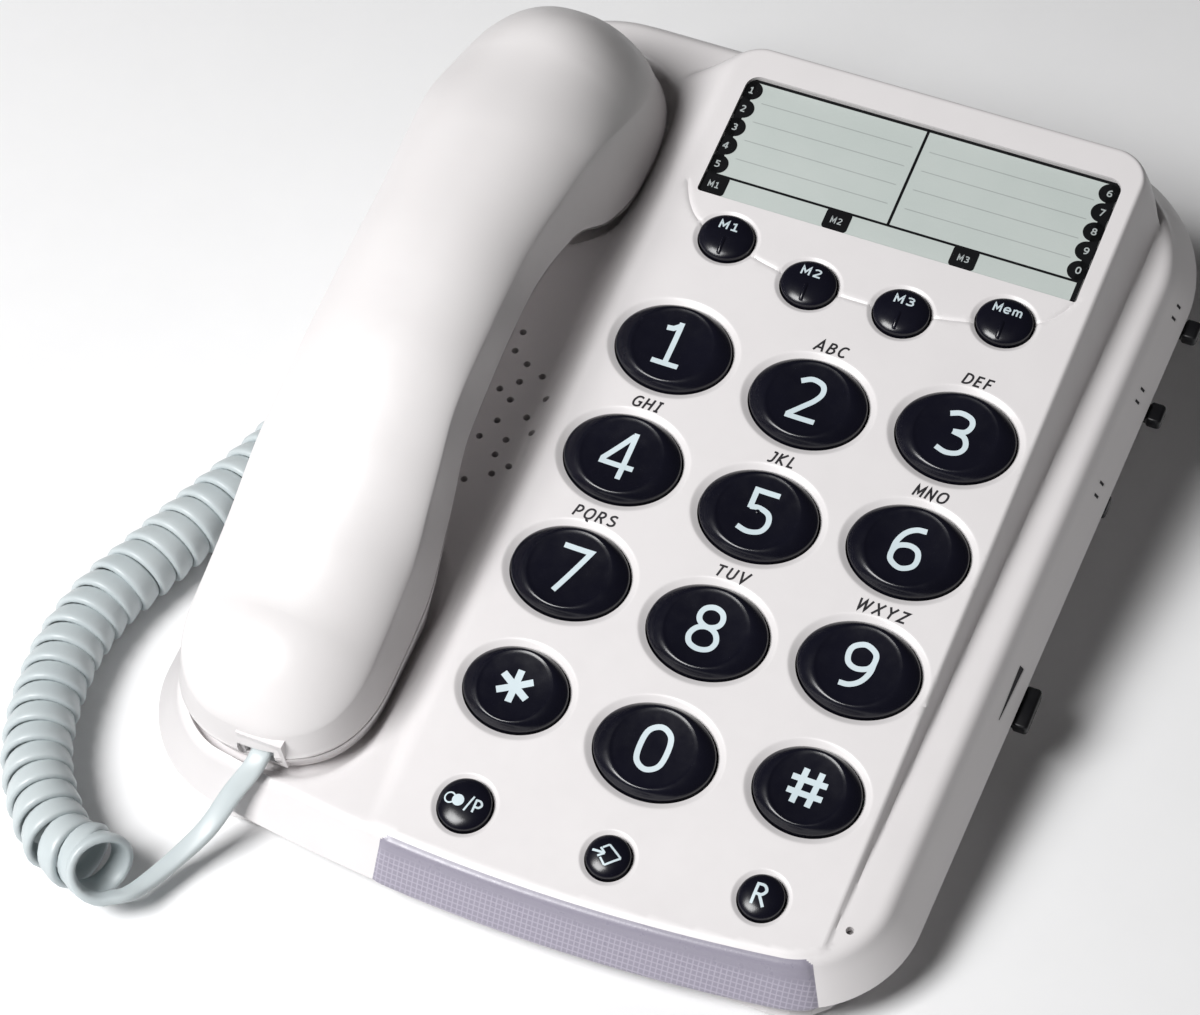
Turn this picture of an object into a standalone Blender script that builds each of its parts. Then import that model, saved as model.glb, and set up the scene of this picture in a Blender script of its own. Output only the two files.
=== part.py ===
"""Corded desk telephone with large oval keys: housings, keys, hook, handset and curly cord.

Shapes are drawn in millimetres and scaled once, by MM, when they become objects. Three frames
carry them, each an empty: the desk (Z = 0 is the desk), the top shell's rim plane and the key
plane. The last two share the line where the keypad panel rises out of the rim.
"""
import math

import bmesh
import bpy
from mathutils import Matrix, Vector

MM = 0.001
GAP = 0.3                     # between touching parts
WALL = 2.4                    # shell thickness

# The frames: the body stands so that its box is centred over the origin.
BODY_X = -1.98
APEX_Y = -101.72
APEX_Z = 16.5
RIM_TILT = math.radians(10.0)
KEY_TILT = math.radians(14.0)
WEDGE = KEY_TILT - RIM_TILT

# Top shell: outline of the rim's upper edge, in the rim plane (x, along the slope).
RIM_FRONT = 3.8
RIM_BACK = 207.2
RIM_HALF_FRONT = 78.8
RIM_HALF_BACK = 82.6
RIM_FRONT_RADIUS = 16.7
RIM_BACK_RADIUS = 29.7
FRONT_BULGE = 7.9             # how far the front edge bows out at its middle
SKIRT_DROP = 9.0
SKIRT_FLARE = 5.3

# Lower housing: a tray whose walls lean in below the skirt.
TRAY_INSET = 6.0
TRAY_FLOOR = 2.0
TRAY_WALL = 2.2
TRAY_BACK = 201.0
TRAY_HALF = 72.6

# Keypad panel: a wedge that grows out of the rim towards the back.
PANEL_LEFT = -26.3
PANEL_RIGHT_FRONT = 69.3
PANEL_RIGHT_BACK = 70.8
PANEL_BACK = 200.0
PANEL_FRONT = 6.2

# Keys: centres as (x, distance up the key plane), and half sizes of the ovals.
KEY_X = 22.2
KEY_PITCH_X = 32.0
KEY_TOP_ROW = 118.7
KEY_PITCH_Y = 28.2
KEY_SMILE = 2.8               # outer columns sit higher than the middle one
DIGIT_OVAL = (12.85, 10.25)
SYMBOL_OVAL = (11.2, 9.25)
MEMORY_OVAL = (6.15, 5.5)
KEY_CLEARANCE = 0.35
KEY_FLANGE = 0.8

# Cradle wells for the ear and mouth cups: centre x, centre along the slope, half sizes, depth.
EAR_WELL = (-57.6, 168.0, 22.9, 29.5, 7.0)
MOUTH_WELL = (-55.7, 34.5, 22.8, 32.2, 3.0)

# Handset, in the rim plane.
HANDSET_FRONT = 3.5
HANDSET_BACK = 194.0
HANDSET_SPINE = (27.0, 165.0)
HANDSET_WALL = 2.2
HANDSET_X = ((0, -55.6), (60, -56.6), (120, -57.4), (200, -57.6))
HANDSET_HALF = ((0, 22.2), (45, 22.6), (62, 21.6), (80, 19.9), (115, 19.7), (140, 21.6),
                (160, 23.3), (200, 23.3))
HANDSET_SPINE_TOP = ((0, 22), (27, 23.5), (45, 28), (65, 34.5), (90, 41), (115, 43.5),
                     (140, 43), (165, 40), (200, 40))
HANDSET_CREASE = ((0, 9.5), (25, 14.5), (45, 18.5), (62, 26.5), (85, 33.5), (115, 35),
                  (145, 33), (170, 22), (200, 10))
HANDSET_SEAM = ((0, 6.5), (25, 7.0), (45, 8.5), (62, 15.5), (80, 22.5), (110, 26),
                (135, 22), (152, 11.5), (170, 8), (200, 7))
HANDSET_UNDER = ((0, -2.4), (50, -2.4), (57, 2.0), (66, 14.0), (78, 18.8), (108, 21.5),
                 (132, 17.0), (141, 5.0), (147, -6.4), (200, -6.4))
HANDSET_TUCK = ((0, 1), (44, 1), (58, 0.9), (70, 0.9), (130, 0.88), (142, 0.8), (149, 0.88),
                (160, 1), (200, 1))
LIFT_JACK = (-51.9, 4.4)      # handset jack: x and height in the rim plane

# Hook plunger: x, distance up the slope and half sizes.
HOOK_X = -57.0
HOOK_Y = 147.0
HOOK_HALF = (4.0, 2.0)

# Sliding controls on the right wall: name, place along the slope, half length, outer end, travel.
SIDE_CONTROLS = (("volume_slider", 75.4, 4.75, 89.3, 6.0),
                 ("side_selector", 126.9, 2.3, 87.2, 1.5),
                 ("tone_switch", 152.0, 2.3, 91.0, 1.5),
                 ("ringer_switch", 174.9, 2.3, 91.3, 2.0))

# Screws and the bosses they join: x, distance up the slope, top of the lower boss, height of the
# upper boss's root in the rim plane.
SCREWS = ((-70.0, 26.0, 9.0, -4.0), (70.0, 26.0, 9.0, -1.2),
          (-66.0, 186.0, 20.0, -8.0), (66.0, 186.0, 20.0, 11.6))

# Sound holes over the ringer, mirrored about a line up the slope: distance from it, place along it.
GRILLE_X = -49.0
GRILLE_HALF = ((4.0, 118.5), (4.3, 113.5), (8.2, 111.2), (12.6, 109.4), (8.5, 106.5), (5.2, 103.4),
               (8.5, 101.6), (15.9, 104.2), (8.0, 95.8), (13.7, 98.7), (16.5, 95.2), (6.0, 90.9),
               (11.8, 92.0), (11.1, 87.8), (15.1, 86.1), (12.4, 83.2), (7.4, 79.9))

# Light bar in the front edge.
LIGHT_LEFT = -22.6
LIGHT_RIGHT = 68.6

# Curly cord, as (x, y, z) from the point of the desk below the rim's front line.
COIL_RADIUS = 7.3
LEAD_RADIUS = 1.6
COIL_ROUTE = ((-72.2, -28.9, 11.2), (-74.4, -27.0, 9.3), (-78.2, -25.9, 8.2), (-84.4, -24.6, 8),
              (-92.1, -18.3, 8), (-99.9, -8.2, 8), (-105.1, 4.7, 8), (-108.0, 20.1, 8),
              (-107.3, 33.7, 8), (-104.6, 43.6, 8), (-99.7, 60.4, 8), (-95.4, 74.0, 8),
              (-91.9, 88.0, 8), (-90.9, 101.0, 8), (-91.6, 114.0, 8))
HANDSET_LEAD = ((-51.9, 3.9, 21.5), (-51.9, 2.4, 21.2), (-52.7, 0.0, 19.3), (-55.6, -3.8, 14.4),
                (-58.6, -10.4, 8.8), (-62.7, -18.8, 5.6), (-65.4, -25.4, 5.2), (-66.2, -29.2, 6.0),
                (-67.5, -31.0, 7.1), (-68.9, -30.5, 6.7))
BASE_LEAD = ((-84.4, 131.0, 13.0), (-88.0, 130.4, 12.7), (-91.0, 128.0, 11.6),
             (-92.2, 124.0, 10.0), (-91.8, 119.5, 8.7), (-91.6, 114.4, 8.1))
JACK_Y = 131.0
JACK_Z = 13.0

WHITE = (0.78, 0.73, 0.74)
DARK = (0.012, 0.012, 0.018)
GREY = (0.62, 0.66, 0.67)


# ---------------------------------------------------------------- scene, frames and materials

def clear_scene():
    for found in list(bpy.data.objects):
        bpy.data.objects.remove(found, do_unlink=True)


def make_collection(name):
    made = bpy.data.collections.new(name)
    bpy.context.scene.collection.children.link(made)
    return made


def make_frame(name, tilt, height):
    frame = bpy.data.objects.new(name, None)
    frame.location = (BODY_X * MM, APEX_Y * MM, height * MM)
    frame.rotation_euler = (tilt, 0, 0)
    bpy.context.scene.collection.objects.link(frame)
    return frame


clear_scene()
PARTS = make_collection("corded_telephone")
CUTTERS = make_collection("cutters")
DESK = make_frame("desk_frame", 0, 0)
RIM = make_frame("rim_frame", RIM_TILT, APEX_Z)
KEYS = make_frame("key_frame", KEY_TILT, APEX_Z)


def make_material(name, colour, roughness, metallic=0.0):
    material = bpy.data.materials.new(name)
    material.use_nodes = True
    shader = material.node_tree.nodes["Principled BSDF"]
    shader.inputs["Base Color"].default_value = (*colour, 1)
    shader.inputs["Roughness"].default_value = roughness
    shader.inputs["Metallic"].default_value = metallic
    return material


def key_to_rim(x, along, height):
    """A point of the key plane's frame, in the rim plane's frame."""
    return (x, along * math.cos(WEDGE) - height * math.sin(WEDGE),
            along * math.sin(WEDGE) + height * math.cos(WEDGE))


def rim_to_desk(x, along, height):
    """A point of the rim plane's frame, in the desk's frame."""
    return (x, along * math.cos(RIM_TILT) - height * math.sin(RIM_TILT),
            APEX_Z + along * math.sin(RIM_TILT) + height * math.cos(RIM_TILT))


def slope_at(points, i):
    """Slope of the smooth curve at its i-th point: level at ends and at every peak or dip."""
    if i in (0, len(points) - 1):
        return 0.0
    (a, before), (b, here), (c, after) = points[i - 1:i + 2]
    rise, then = (here - before) / (b - a), (after - here) / (c - b)
    return 0.0 if rise * then <= 0 else 2 * rise * then / (rise + then)


def smooth(points, at):
    """A smooth curve through (place, value) points that never overshoots them."""
    at = min(max(at, points[0][0]), points[-1][0])
    i = max(k for k in range(len(points) - 1) if points[k][0] <= at)
    (a, low), (b, high) = points[i], points[i + 1]
    run = b - a
    t = (at - a) / run
    return (low * (2 * t ** 3 - 3 * t ** 2 + 1) + high * (3 * t ** 2 - 2 * t ** 3)
            + slope_at(points, i) * run * (t ** 3 - 2 * t ** 2 + t)
            + slope_at(points, i + 1) * run * (t ** 3 - t ** 2))


# ---------------------------------------------------------------- mesh helpers

def finish(name, mesh, frame, material, at=(0, 0, 0), keep=True):
    """Turn a bmesh drawn in millimetres into an object of the frame, with its origin at `at`."""
    bmesh.ops.translate(mesh, verts=mesh.verts, vec=-Vector(at))
    bmesh.ops.scale(mesh, verts=mesh.verts, vec=(MM, MM, MM))
    bmesh.ops.recalc_face_normals(mesh, faces=mesh.faces)
    data = bpy.data.meshes.new(name)
    mesh.to_mesh(data)
    mesh.free()
    made = bpy.data.objects.new(name, data)
    made.parent = frame
    made.location = Vector(at) * MM
    if keep:
        PARTS.objects.link(made)
        data.materials.append(material)
        data.shade_smooth()
        data.set_sharp_from_angle(angle=math.radians(35))
    else:
        CUTTERS.objects.link(made)
        made.hide_render = True
        made.display_type = 'WIRE'
    return made


def boolean(target, tool, operation):
    step = target.modifiers.new(f"{operation.lower()}_{tool.name}", 'BOOLEAN')
    step.object = tool
    step.operation = operation


def add_box(mesh, centre, size):
    place = Matrix.Translation(centre) @ Matrix.Diagonal((*size, 1))
    bmesh.ops.create_cube(mesh, size=1, matrix=place)


def add_box_between(mesh, low, high):
    size = [b - a for a, b in zip(low, high)]
    add_box(mesh, [(a + b) / 2 for a, b in zip(low, high)], size)


def add_cylinder(mesh, centre, radius, length, axis='Z', sides=20, top_radius=None):
    turn = {'X': Matrix.Rotation(math.pi / 2, 4, 'Y'), 'Y': Matrix.Rotation(math.pi / 2, 4, 'X'),
            'Z': Matrix.Identity(4)}[axis]
    top = radius if top_radius is None else top_radius
    bmesh.ops.create_cone(mesh, cap_ends=True, segments=sides, radius1=radius, radius2=top,
                          depth=length, matrix=Matrix.Translation(centre) @ turn)


def add_loft(mesh, rings):
    """Closed solid through rings of equal point counts, capped at both ends."""
    rows = [[mesh.verts.new(point) for point in ring] for ring in rings]
    count = len(rings[0])
    for low, high in zip(rows, rows[1:]):
        for i in range(count):
            j = (i + 1) % count
            mesh.faces.new((low[i], low[j], high[j], high[i]))
    mesh.faces.new(rows[0][::-1])
    mesh.faces.new(rows[-1])


def oval(centre, half, height, sides):
    turns = [2 * math.pi * i / sides for i in range(sides)]
    return [(centre[0] + half[0] * math.cos(t), centre[1] + half[1] * math.sin(t), height)
            for t in turns]


def rounded_polygon(corners, radii, steps, front_steps=1):
    """Corner-rounded outline; its first straight run is divided so that it can be bowed."""
    outline = []
    count = len(corners)
    for i, (corner, radius) in enumerate(zip(corners, radii)):
        here = Vector(corner)
        back = (Vector(corners[i - 1]) - here).normalized()
        ahead = (Vector(corners[(i + 1) % count]) - here).normalized()
        half = back.angle(ahead) / 2
        centre = here + (back + ahead).normalized() * radius / math.sin(half)
        reach = radius / math.tan(half)
        first = here + back * reach - centre
        last = here + ahead * reach - centre
        sweep = first.angle_signed(last)
        for step in range(steps + 1):
            spoke = first.copy()
            spoke.rotate(Matrix.Rotation(-sweep * step / steps, 2))
            outline.append(centre + spoke)
        if i == 0 and front_steps > 1:
            start = outline[-1]
            next_corner = Vector(corners[1])
            run = (next_corner - start).length - radii[1]
            for step in range(1, front_steps):
                outline.append(start + ahead * run * step / front_steps)
    return outline


def push_out(outline, offset):
    moved = []
    count = len(outline)
    for i, point in enumerate(outline):
        along = (outline[(i + 1) % count] - outline[i - 1]).normalized()
        moved.append(point + Vector((along.y, -along.x)) * offset)
    return moved


def rim_outline(offset=0.0):
    """The rim's upper edge pushed outwards, with its bowed front, counter-clockwise."""
    corners = [(-RIM_HALF_FRONT, RIM_FRONT), (RIM_HALF_FRONT, RIM_FRONT),
               (RIM_HALF_BACK, RIM_BACK), (-RIM_HALF_BACK, RIM_BACK)]
    radii = [RIM_FRONT_RADIUS, RIM_FRONT_RADIUS, RIM_BACK_RADIUS, RIM_BACK_RADIUS]
    outline = rounded_polygon(corners, radii, 5, front_steps=8)
    for point in outline:
        across = 1 - (point.x / RIM_HALF_FRONT) ** 2
        near = max(0.0, 1 - point.y / 100)
        point.y -= FRONT_BULGE * max(0.0, across) * near
    return push_out(outline, offset)


def ring(outline, height):
    return [(point[0], point[1], height) for point in outline]


# ---------------------------------------------------------------- top shell

def slab(name, rings):
    mesh = bmesh.new()
    add_loft(mesh, [ring(rim_outline(offset), height) for offset, height in rings])
    return mesh


def panel_rings(inset, front, top, bottom):
    """Top ring on the key plane and bottom ring in the rim plane, sunk below it."""
    left, back = PANEL_LEFT + inset, PANEL_BACK - inset
    upper = [(left, front), (PANEL_RIGHT_FRONT - inset, front), (PANEL_RIGHT_BACK - inset, back),
             (left, back)]
    lower = [(-29.5 + inset, front), (70.3 - inset, front), (75.2 - inset, back + 4.5),
             (-43.5 + inset, back + 4.5)]
    upper_outline = rounded_polygon(upper, [3, 3, 8, 8], 4)
    lower_outline = rounded_polygon(lower, [3, 3, 9, 9], 4)
    return [ring(lower_outline, bottom), [key_to_rim(p.x, p.y, top) for p in upper_outline]]


def well_rings(well, grow, heights, draft):
    x, along, half_x, half_y, depth = well
    rings = []
    for height in heights:
        slack = grow + draft * height / depth
        corners = [(x - half_x - slack, along - half_y - slack),
                   (x + half_x + slack, along - half_y - slack),
                   (x + half_x + slack, along + half_y + slack),
                   (x - half_x - slack, along + half_y + slack)]
        rings.append(ring(rounded_polygon(corners, [19] * 4, 5), height))
    return rings


def cutter_loft(name, rings, frame=RIM):
    mesh = bmesh.new()
    add_loft(mesh, rings)
    return finish(name, mesh, frame, None, keep=False)


def key_table():
    """Every key: name, x, distance up the key plane, half sizes, sides."""
    names = ("key_1", "key_2", "key_3", "key_4", "key_5", "key_6", "key_7", "key_8", "key_9",
             "key_star", "key_0", "key_hash")
    keys = []
    for i, name in enumerate(names):
        column, row = i % 3 - 1, i // 3
        half = SYMBOL_OVAL if name in ("key_star", "key_hash") else DIGIT_OVAL
        keys.append((name, KEY_X + column * KEY_PITCH_X,
                     KEY_TOP_ROW - row * KEY_PITCH_Y + abs(column) * KEY_SMILE, half, 20))
    for name, x, along in (("key_m1", -31.5, 150.5), ("key_m2", -10.4, 145.5),
                           ("key_m3", 10.8, 145.5), ("key_mem", 32.2, 150.5)):
        keys.append((name, KEY_X + x, along, MEMORY_OVAL, 14))
    for name, x, along, radius in (("key_pause", -31.4, 9.9, 5.6), ("key_redial", 0.2, 9.8, 4.6),
                                   ("key_flash", 31.8, 12.7, 4.7)):
        keys.append((name, KEY_X + x, along, (radius, radius), 14))
    return keys


def key_holes():
    mesh = bmesh.new()
    for name, x, along, half, sides in key_table():
        clear = (half[0] + KEY_CLEARANCE, half[1] + KEY_CLEARANCE)
        add_loft(mesh, [oval((x, along), clear, height, sides) for height in (-8, 4)])
    return finish("key_hole_cutter", mesh, KEYS, None, keep=False)


def grille_holes():
    """The sound holes over the ringer, and the pinhole beside the panel's foot."""
    mesh = bmesh.new()
    for across, along in GRILLE_HALF:
        for x in (GRILLE_X - across, GRILLE_X + across):
            add_cylinder(mesh, (x, along, 0), 0.8, 24, sides=6)
    add_cylinder(mesh, (72.5, 12.8, -3), 0.9, 12, sides=8)
    return finish("sound_hole_cutter", mesh, RIM, None, keep=False)


def boss_cutters():
    """Upper bosses, and the pilot holes their screws run in."""
    posts, pilots = bmesh.new(), bmesh.new()
    for x, along, boss_top, root in SCREWS:
        spot = rim_to_desk(x, along, root)
        low = boss_top + GAP
        add_cylinder(posts, (x, spot[1], (low + spot[2]) / 2), 3.6, spot[2] - low, sides=12)
        add_cylinder(pilots, (x, spot[1], low + 1.5), 1.65, 13, sides=8)
    return (finish("boss_tool", posts, DESK, None, keep=False),
            finish("pilot_cutter", pilots, DESK, None, keep=False))


def light_space(name, slack):
    """The front edge's outer skin along the light bar, cut a little larger for the opening."""
    mesh = bmesh.new()
    add_box_between(mesh, (LIGHT_LEFT - slack, -22, -12), (LIGHT_RIGHT + slack, 12, 3))
    space = finish(name, mesh, RIM, None, keep=False)
    behind = WALL + (0.5 if slack else -0.3)
    core = slab(name, [(SKIRT_FLARE + 3.5 - behind, -15), (SKIRT_FLARE - behind, -SKIRT_DROP),
                       (-behind, 0), (-behind, 4)])
    boolean(space, finish(f"{name}_core", core, RIM, None, keep=False), 'DIFFERENCE')
    return space


def upper_housing(material):
    shell = finish("base_upper_housing",
                   slab("shell", [(SKIRT_FLARE, -SKIRT_DROP), (0, -1.0), (-1.0, 0)]),
                   RIM, material)
    boolean(shell, cutter_loft("panel_tool", panel_rings(0, PANEL_FRONT, 0, -3)), 'UNION')
    inside = slab("inside", [(SKIRT_FLARE + 1.4 - WALL, -SKIRT_DROP - 2.4),
                             (-WALL - 0.3, -WALL)])
    boolean(shell, finish("inside_cutter", inside, RIM, None, keep=False), 'DIFFERENCE')
    boolean(shell, cutter_loft("panel_inside_cutter", panel_rings(1.5, 2.8, -WALL, -8)),
            'DIFFERENCE')
    boolean(shell, cutter_loft("ear_block", well_rings(EAR_WELL, 2.1, (-9.2, -1.3), 1.5)), 'UNION')
    boolean(shell, cutter_loft("mouth_block", well_rings(MOUTH_WELL, 1.2, (-5.2, -1.3), 1.0)),
            'UNION')
    tray = bmesh.new()
    add_box_between(tray, (-23.5, 158.2, -4.6), (68.2, 195, -2.0))
    boolean(shell, finish("window_tray", tray, KEYS, None, keep=False), 'UNION')
    posts, pilots = boss_cutters()
    boolean(shell, posts, 'UNION')
    boolean(shell, pilots, 'DIFFERENCE')
    boolean(shell, cutter_loft("ear_well", well_rings(EAR_WELL, 0, (-7.0, 14.0), 1.5)),
            'DIFFERENCE')
    boolean(shell, cutter_loft("mouth_well", well_rings(MOUTH_WELL, 0, (-3.0, 9.0), 1.0)),
            'DIFFERENCE')
    boolean(shell, key_holes(), 'DIFFERENCE')
    boolean(shell, grille_holes(), 'DIFFERENCE')
    boolean(shell, light_space("light_opening", 0.3), 'DIFFERENCE')
    pocket = bmesh.new()
    add_box_between(pocket, (-20.3, 160.0, -2.2), (66.8, 191.9, 3))
    boolean(shell, finish("window_pocket", pocket, KEYS, None, keep=False), 'DIFFERENCE')
    slot = bmesh.new()
    add_box(slot, (HOOK_X, HOOK_Y, 38), (2 * HOOK_HALF[0] + 0.8, 2 * HOOK_HALF[1] + 0.8, 20))
    boolean(shell, finish("hook_slot", slot, DESK, None, keep=False), 'DIFFERENCE')
    return shell


# ---------------------------------------------------------------- lower housing

def tray_rings(inset, low, high_drop):
    """Bottom ring on the desk's frame and top ring parallel to the rim, a skirt's drop below."""
    top = [rim_to_desk(p.x, p.y, -SKIRT_DROP - high_drop)
           for p in rim_outline(SKIRT_FLARE - TRAY_INSET - inset)]
    corners = [(-TRAY_HALF - 2.4 + inset, -1.5 + inset), (TRAY_HALF + 2.4 - inset, -1.5 + inset),
               (TRAY_HALF - inset, TRAY_BACK - 3 - inset),
               (-TRAY_HALF + inset, TRAY_BACK - 3 - inset)]
    floor = rounded_polygon(corners, [14, 14, 24, 24], 5, front_steps=8)
    return [ring(floor, low), top]


def lower_housing(material):
    mesh = bmesh.new()
    add_loft(mesh, tray_rings(0, TRAY_FLOOR, GAP))
    tray = finish("base_lower_housing", mesh, DESK, material)
    inside = cutter_loft("tray_inside", tray_rings(TRAY_WALL, TRAY_FLOOR + TRAY_WALL, -1.5), DESK)
    boolean(tray, inside, 'DIFFERENCE')

    posts, holes = bmesh.new(), bmesh.new()
    for x, along, boss_top, root in SCREWS:
        y = rim_to_desk(x, along, root)[1]
        add_cylinder(posts, (x, y, (3 + boss_top) / 2), 4.6, boss_top - 3, sides=12)
        levels = ((3.4, -1), (3.4, 5.0), (1.8, 5.0), (1.8, 30))
        add_loft(holes, [oval((x, y), (radius, radius), z, 12) for radius, z in levels])
    add_cylinder(posts, (HOOK_X, HOOK_Y, 8.5), 2.4, 11, sides=10)
    boolean(tray, finish("tray_posts", posts, DESK, None, keep=False), 'UNION')
    boolean(tray, finish("tray_holes", holes, DESK, None, keep=False), 'DIFFERENCE')

    notches = bmesh.new()
    for name, along, half, end, travel in SIDE_CONTROLS:
        reach = half + travel + 0.4
        add_box_between(notches, (70, along - reach, -14.0), (94, along + reach, -7))
    boolean(tray, finish("control_notches", notches, RIM, None, keep=False), 'DIFFERENCE')

    sockets = bmesh.new()
    add_box_between(sockets, (-90, JACK_Y - 6.3, JACK_Z - 5.8), (-60, JACK_Y + 6.3, JACK_Z + 5.8))
    add_box_between(sockets, (-47.3, 185, 6.7), (-32.7, 210, 20.3))
    boolean(tray, finish("socket_cutter", sockets, DESK, None, keep=False), 'DIFFERENCE')
    return tray


# ---------------------------------------------------------------- keypad, board, window

def light_lens(material):
    lens = slab("lens", [(SKIRT_FLARE, -SKIRT_DROP), (0, -1.0), (-1.0, 0)])
    lens = finish("light_bar_lens", lens, RIM, material)
    boolean(lens, light_space("light_zone", 0.0), 'INTERSECT')
    return lens


def plate(name, low, high, frame, material):
    mesh = bmesh.new()
    add_box_between(mesh, low, high)
    return finish(name, mesh, frame, material)


def make_key(name, x, along, half, sides, material):
    """Crowned oval cap over a flange that the panel holds down."""
    big = sides > 14
    crown = 1.4 if big else 1.2
    rings = ((KEY_FLANGE, -4.0), (KEY_FLANGE, -2.8), (0, -2.8), (0, 0.9), (-crown, 2.0))
    mesh = bmesh.new()
    add_loft(mesh, [oval((x, along), (half[0] + grow, half[1] + grow), height, sides)
                    for grow, height in rings])
    return finish(name, mesh, KEYS, material, at=(x, along, 0))


def side_control(name, along, half, end, material):
    """Knob through the wall with a wider foot behind it, its origin on the slide's line."""
    mesh = bmesh.new()
    foot = 73.4
    stem = [[(x, along - half, -13.2), (x, along + half, -13.2), (x, along + half, -9.8),
             (x, along - half, -9.8)] for x in (foot + 1.2, end - 0.8)]
    tip = [(end, along - half + 0.8, -12.4), (end, along + half - 0.8, -12.4),
           (end, along + half - 0.8, -10.6), (end, along - half + 0.8, -10.6)]
    wide = half + 1.6
    block = [[(x, along - wide, -14.6), (x, along + wide, -14.6), (x, along + wide, -9.6),
              (x, along - wide, -9.6)] for x in (foot, foot + 1.2)]
    add_loft(mesh, block + stem + [tip])
    return finish(name, mesh, RIM, material, at=(foot, along, -11.5))


# ---------------------------------------------------------------- hook

def hook_parts(dark, steel):
    top = rim_to_desk(0, HOOK_Y / math.cos(RIM_TILT), -6.4)[2] - 1.6
    mesh = bmesh.new()
    x, y = HOOK_HALF
    outline = [(-x, -y), (x, -y), (x, y), (-x, y)]
    wide = [(-x - 2, -y - 2), (x + 2, -y - 2), (x + 2, y + 2), (-x - 2, y + 2)]
    levels = ((wide, top - 10), (wide, top - 8.2), (outline, top - 8.2), (outline, top - 0.6),
              ([(a * 0.85, b * 0.7) for a, b in outline], top))
    add_loft(mesh, [[(HOOK_X + a, HOOK_Y + b, z) for a, b in shape] for shape, z in levels])
    finish("hook_plunger", mesh, DESK, dark, at=(HOOK_X, HOOK_Y, top))

    low, high = 14.0 + GAP, top - 10 - GAP
    turns, steps, radius, wire = 5, 10, 3.2, 0.35
    route = []
    for i in range(turns * steps + 1):
        turn = 2 * math.pi * i / steps
        route.append((HOOK_X + radius * math.cos(turn), HOOK_Y + radius * math.sin(turn),
                      low + wire + (high - low - 2 * wire) * i / (turns * steps)))
    make_tube("hook_spring", route, wire, DESK, steel, resolution=1)

    body = bmesh.new()
    add_box_between(body, (HOOK_X + 7.4, HOOK_Y - 3.2, 18), (HOOK_X + 14.0, HOOK_Y + 3.2, 30))
    finish("hook_switch", body, DESK, dark)


def make_tube(name, points, radius, frame, material, resolution=2):
    curve = bpy.data.curves.new(name, 'CURVE')
    curve.dimensions = '3D'
    curve.bevel_depth = radius * MM
    curve.bevel_resolution = resolution
    curve.use_fill_caps = True
    spline = curve.splines.new('POLY')
    spline.points.add(len(points) - 1)
    for spot, point in zip(spline.points, points):
        spot.co = (*(Vector(point) * MM), 1)
    curve.materials.append(material)
    made = bpy.data.objects.new(name, curve)
    made.parent = frame
    PARTS.objects.link(made)
    return made


def even_route(points, spacing):
    """Points at even steps along a smooth curve through the route's own points."""
    route = [Vector(point) for point in points]
    places = [0.0]
    for a, b in zip(route, route[1:]):
        places.append(places[-1] + (b - a).length)
    count = max(2, round(places[-1] / spacing))
    tables = [list(zip(places, [point[k] for point in route])) for k in range(3)]
    return [tuple(smooth(table, places[-1] * i / count) for table in tables)
            for i in range(count + 1)]


# ---------------------------------------------------------------- handset

def handset_outline():
    """Stations round the handset's plan: side, distance along, and the rounding of its ends."""
    ends = 5
    front, back = HANDSET_SPINE
    stations = []
    for i in range(ends + 1):
        turn = math.pi / 2 * i / ends
        stations.append((back + (HANDSET_BACK - back) * math.cos(turn) ** 0.8,
                         math.sin(turn) ** 0.8))
    for along in (150, 143, 136, 128, 112, 96, 80, 70, 63, 57, 50, 38):
        stations.append((along, 1.0))
    for i in range(ends + 1):
        turn = math.pi / 2 * i / ends
        stations.append((front - (front - HANDSET_FRONT) * math.sin(turn) ** 0.8,
                         math.cos(turn) ** 0.8))
    right = [(1, along, share) for along, share in stations]
    left = [(-1, along, share) for along, share in reversed(stations[1:-1])]
    return right + left


def handset_point(station, part, height):
    """`part` runs from 0 on the spine to 1 on the outline."""
    side, along, share = station
    spine = min(max(along, HANDSET_SPINE[0]), HANDSET_SPINE[1])
    x = smooth(HANDSET_X, spine) + side * share * smooth(HANDSET_HALF, spine) * part
    return (x, spine + (along - spine) * part, height)


def handset_skin(rings):
    """Open skin from the outline to the spine: rings of (part, height rule, tucked or not)."""
    mesh = bmesh.new()
    outline = handset_outline()
    rows = []
    for part, rule, tucked in rings:
        row = []
        for station in outline:
            reach = part * (smooth(HANDSET_TUCK, station[1]) if tucked else 1)
            row.append(mesh.verts.new(handset_point(station, reach, rule(station))))
        rows.append(row)
    count = len(outline)
    for low, high in zip(rows, rows[1:]):
        for i in range(count):
            j = (i + 1) % count
            mesh.faces.new((low[i], low[j], high[j], high[i]))
    bmesh.ops.remove_doubles(mesh, verts=mesh.verts, dist=0.05)
    return mesh


def handset_shell(name, rings, material, outward):
    mesh = handset_skin(rings)
    shell = finish(name, mesh, RIM, material)
    flip = outward * sum(f.normal.z for f in shell.data.polygons) < 0
    if flip:
        shell.data.flip_normals()
    solid = shell.modifiers.new("wall", 'SOLIDIFY')
    solid.thickness = HANDSET_WALL * MM
    solid.offset = -1
    solid.use_even_offset = True
    solid.use_rim = True
    return shell


def seam(station):
    return smooth(HANDSET_SEAM, station[1])


def crease(station):
    return smooth(HANDSET_CREASE, station[1])


def dome(part):
    def rule(station):
        spine = min(max(station[1], HANDSET_SPINE[0]), HANDSET_SPINE[1])
        edge = crease(station)
        return edge + (smooth(HANDSET_SPINE_TOP, spine) - edge) * math.sqrt(1 - part ** 2)
    return rule


def under(share):
    """Height between the seam and the underside, for the lower shell's walls and floor."""
    def rule(station):
        low = smooth(HANDSET_UNDER, station[1])
        return seam(station) - GAP + (low - seam(station) + GAP) * share
    return rule


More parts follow.
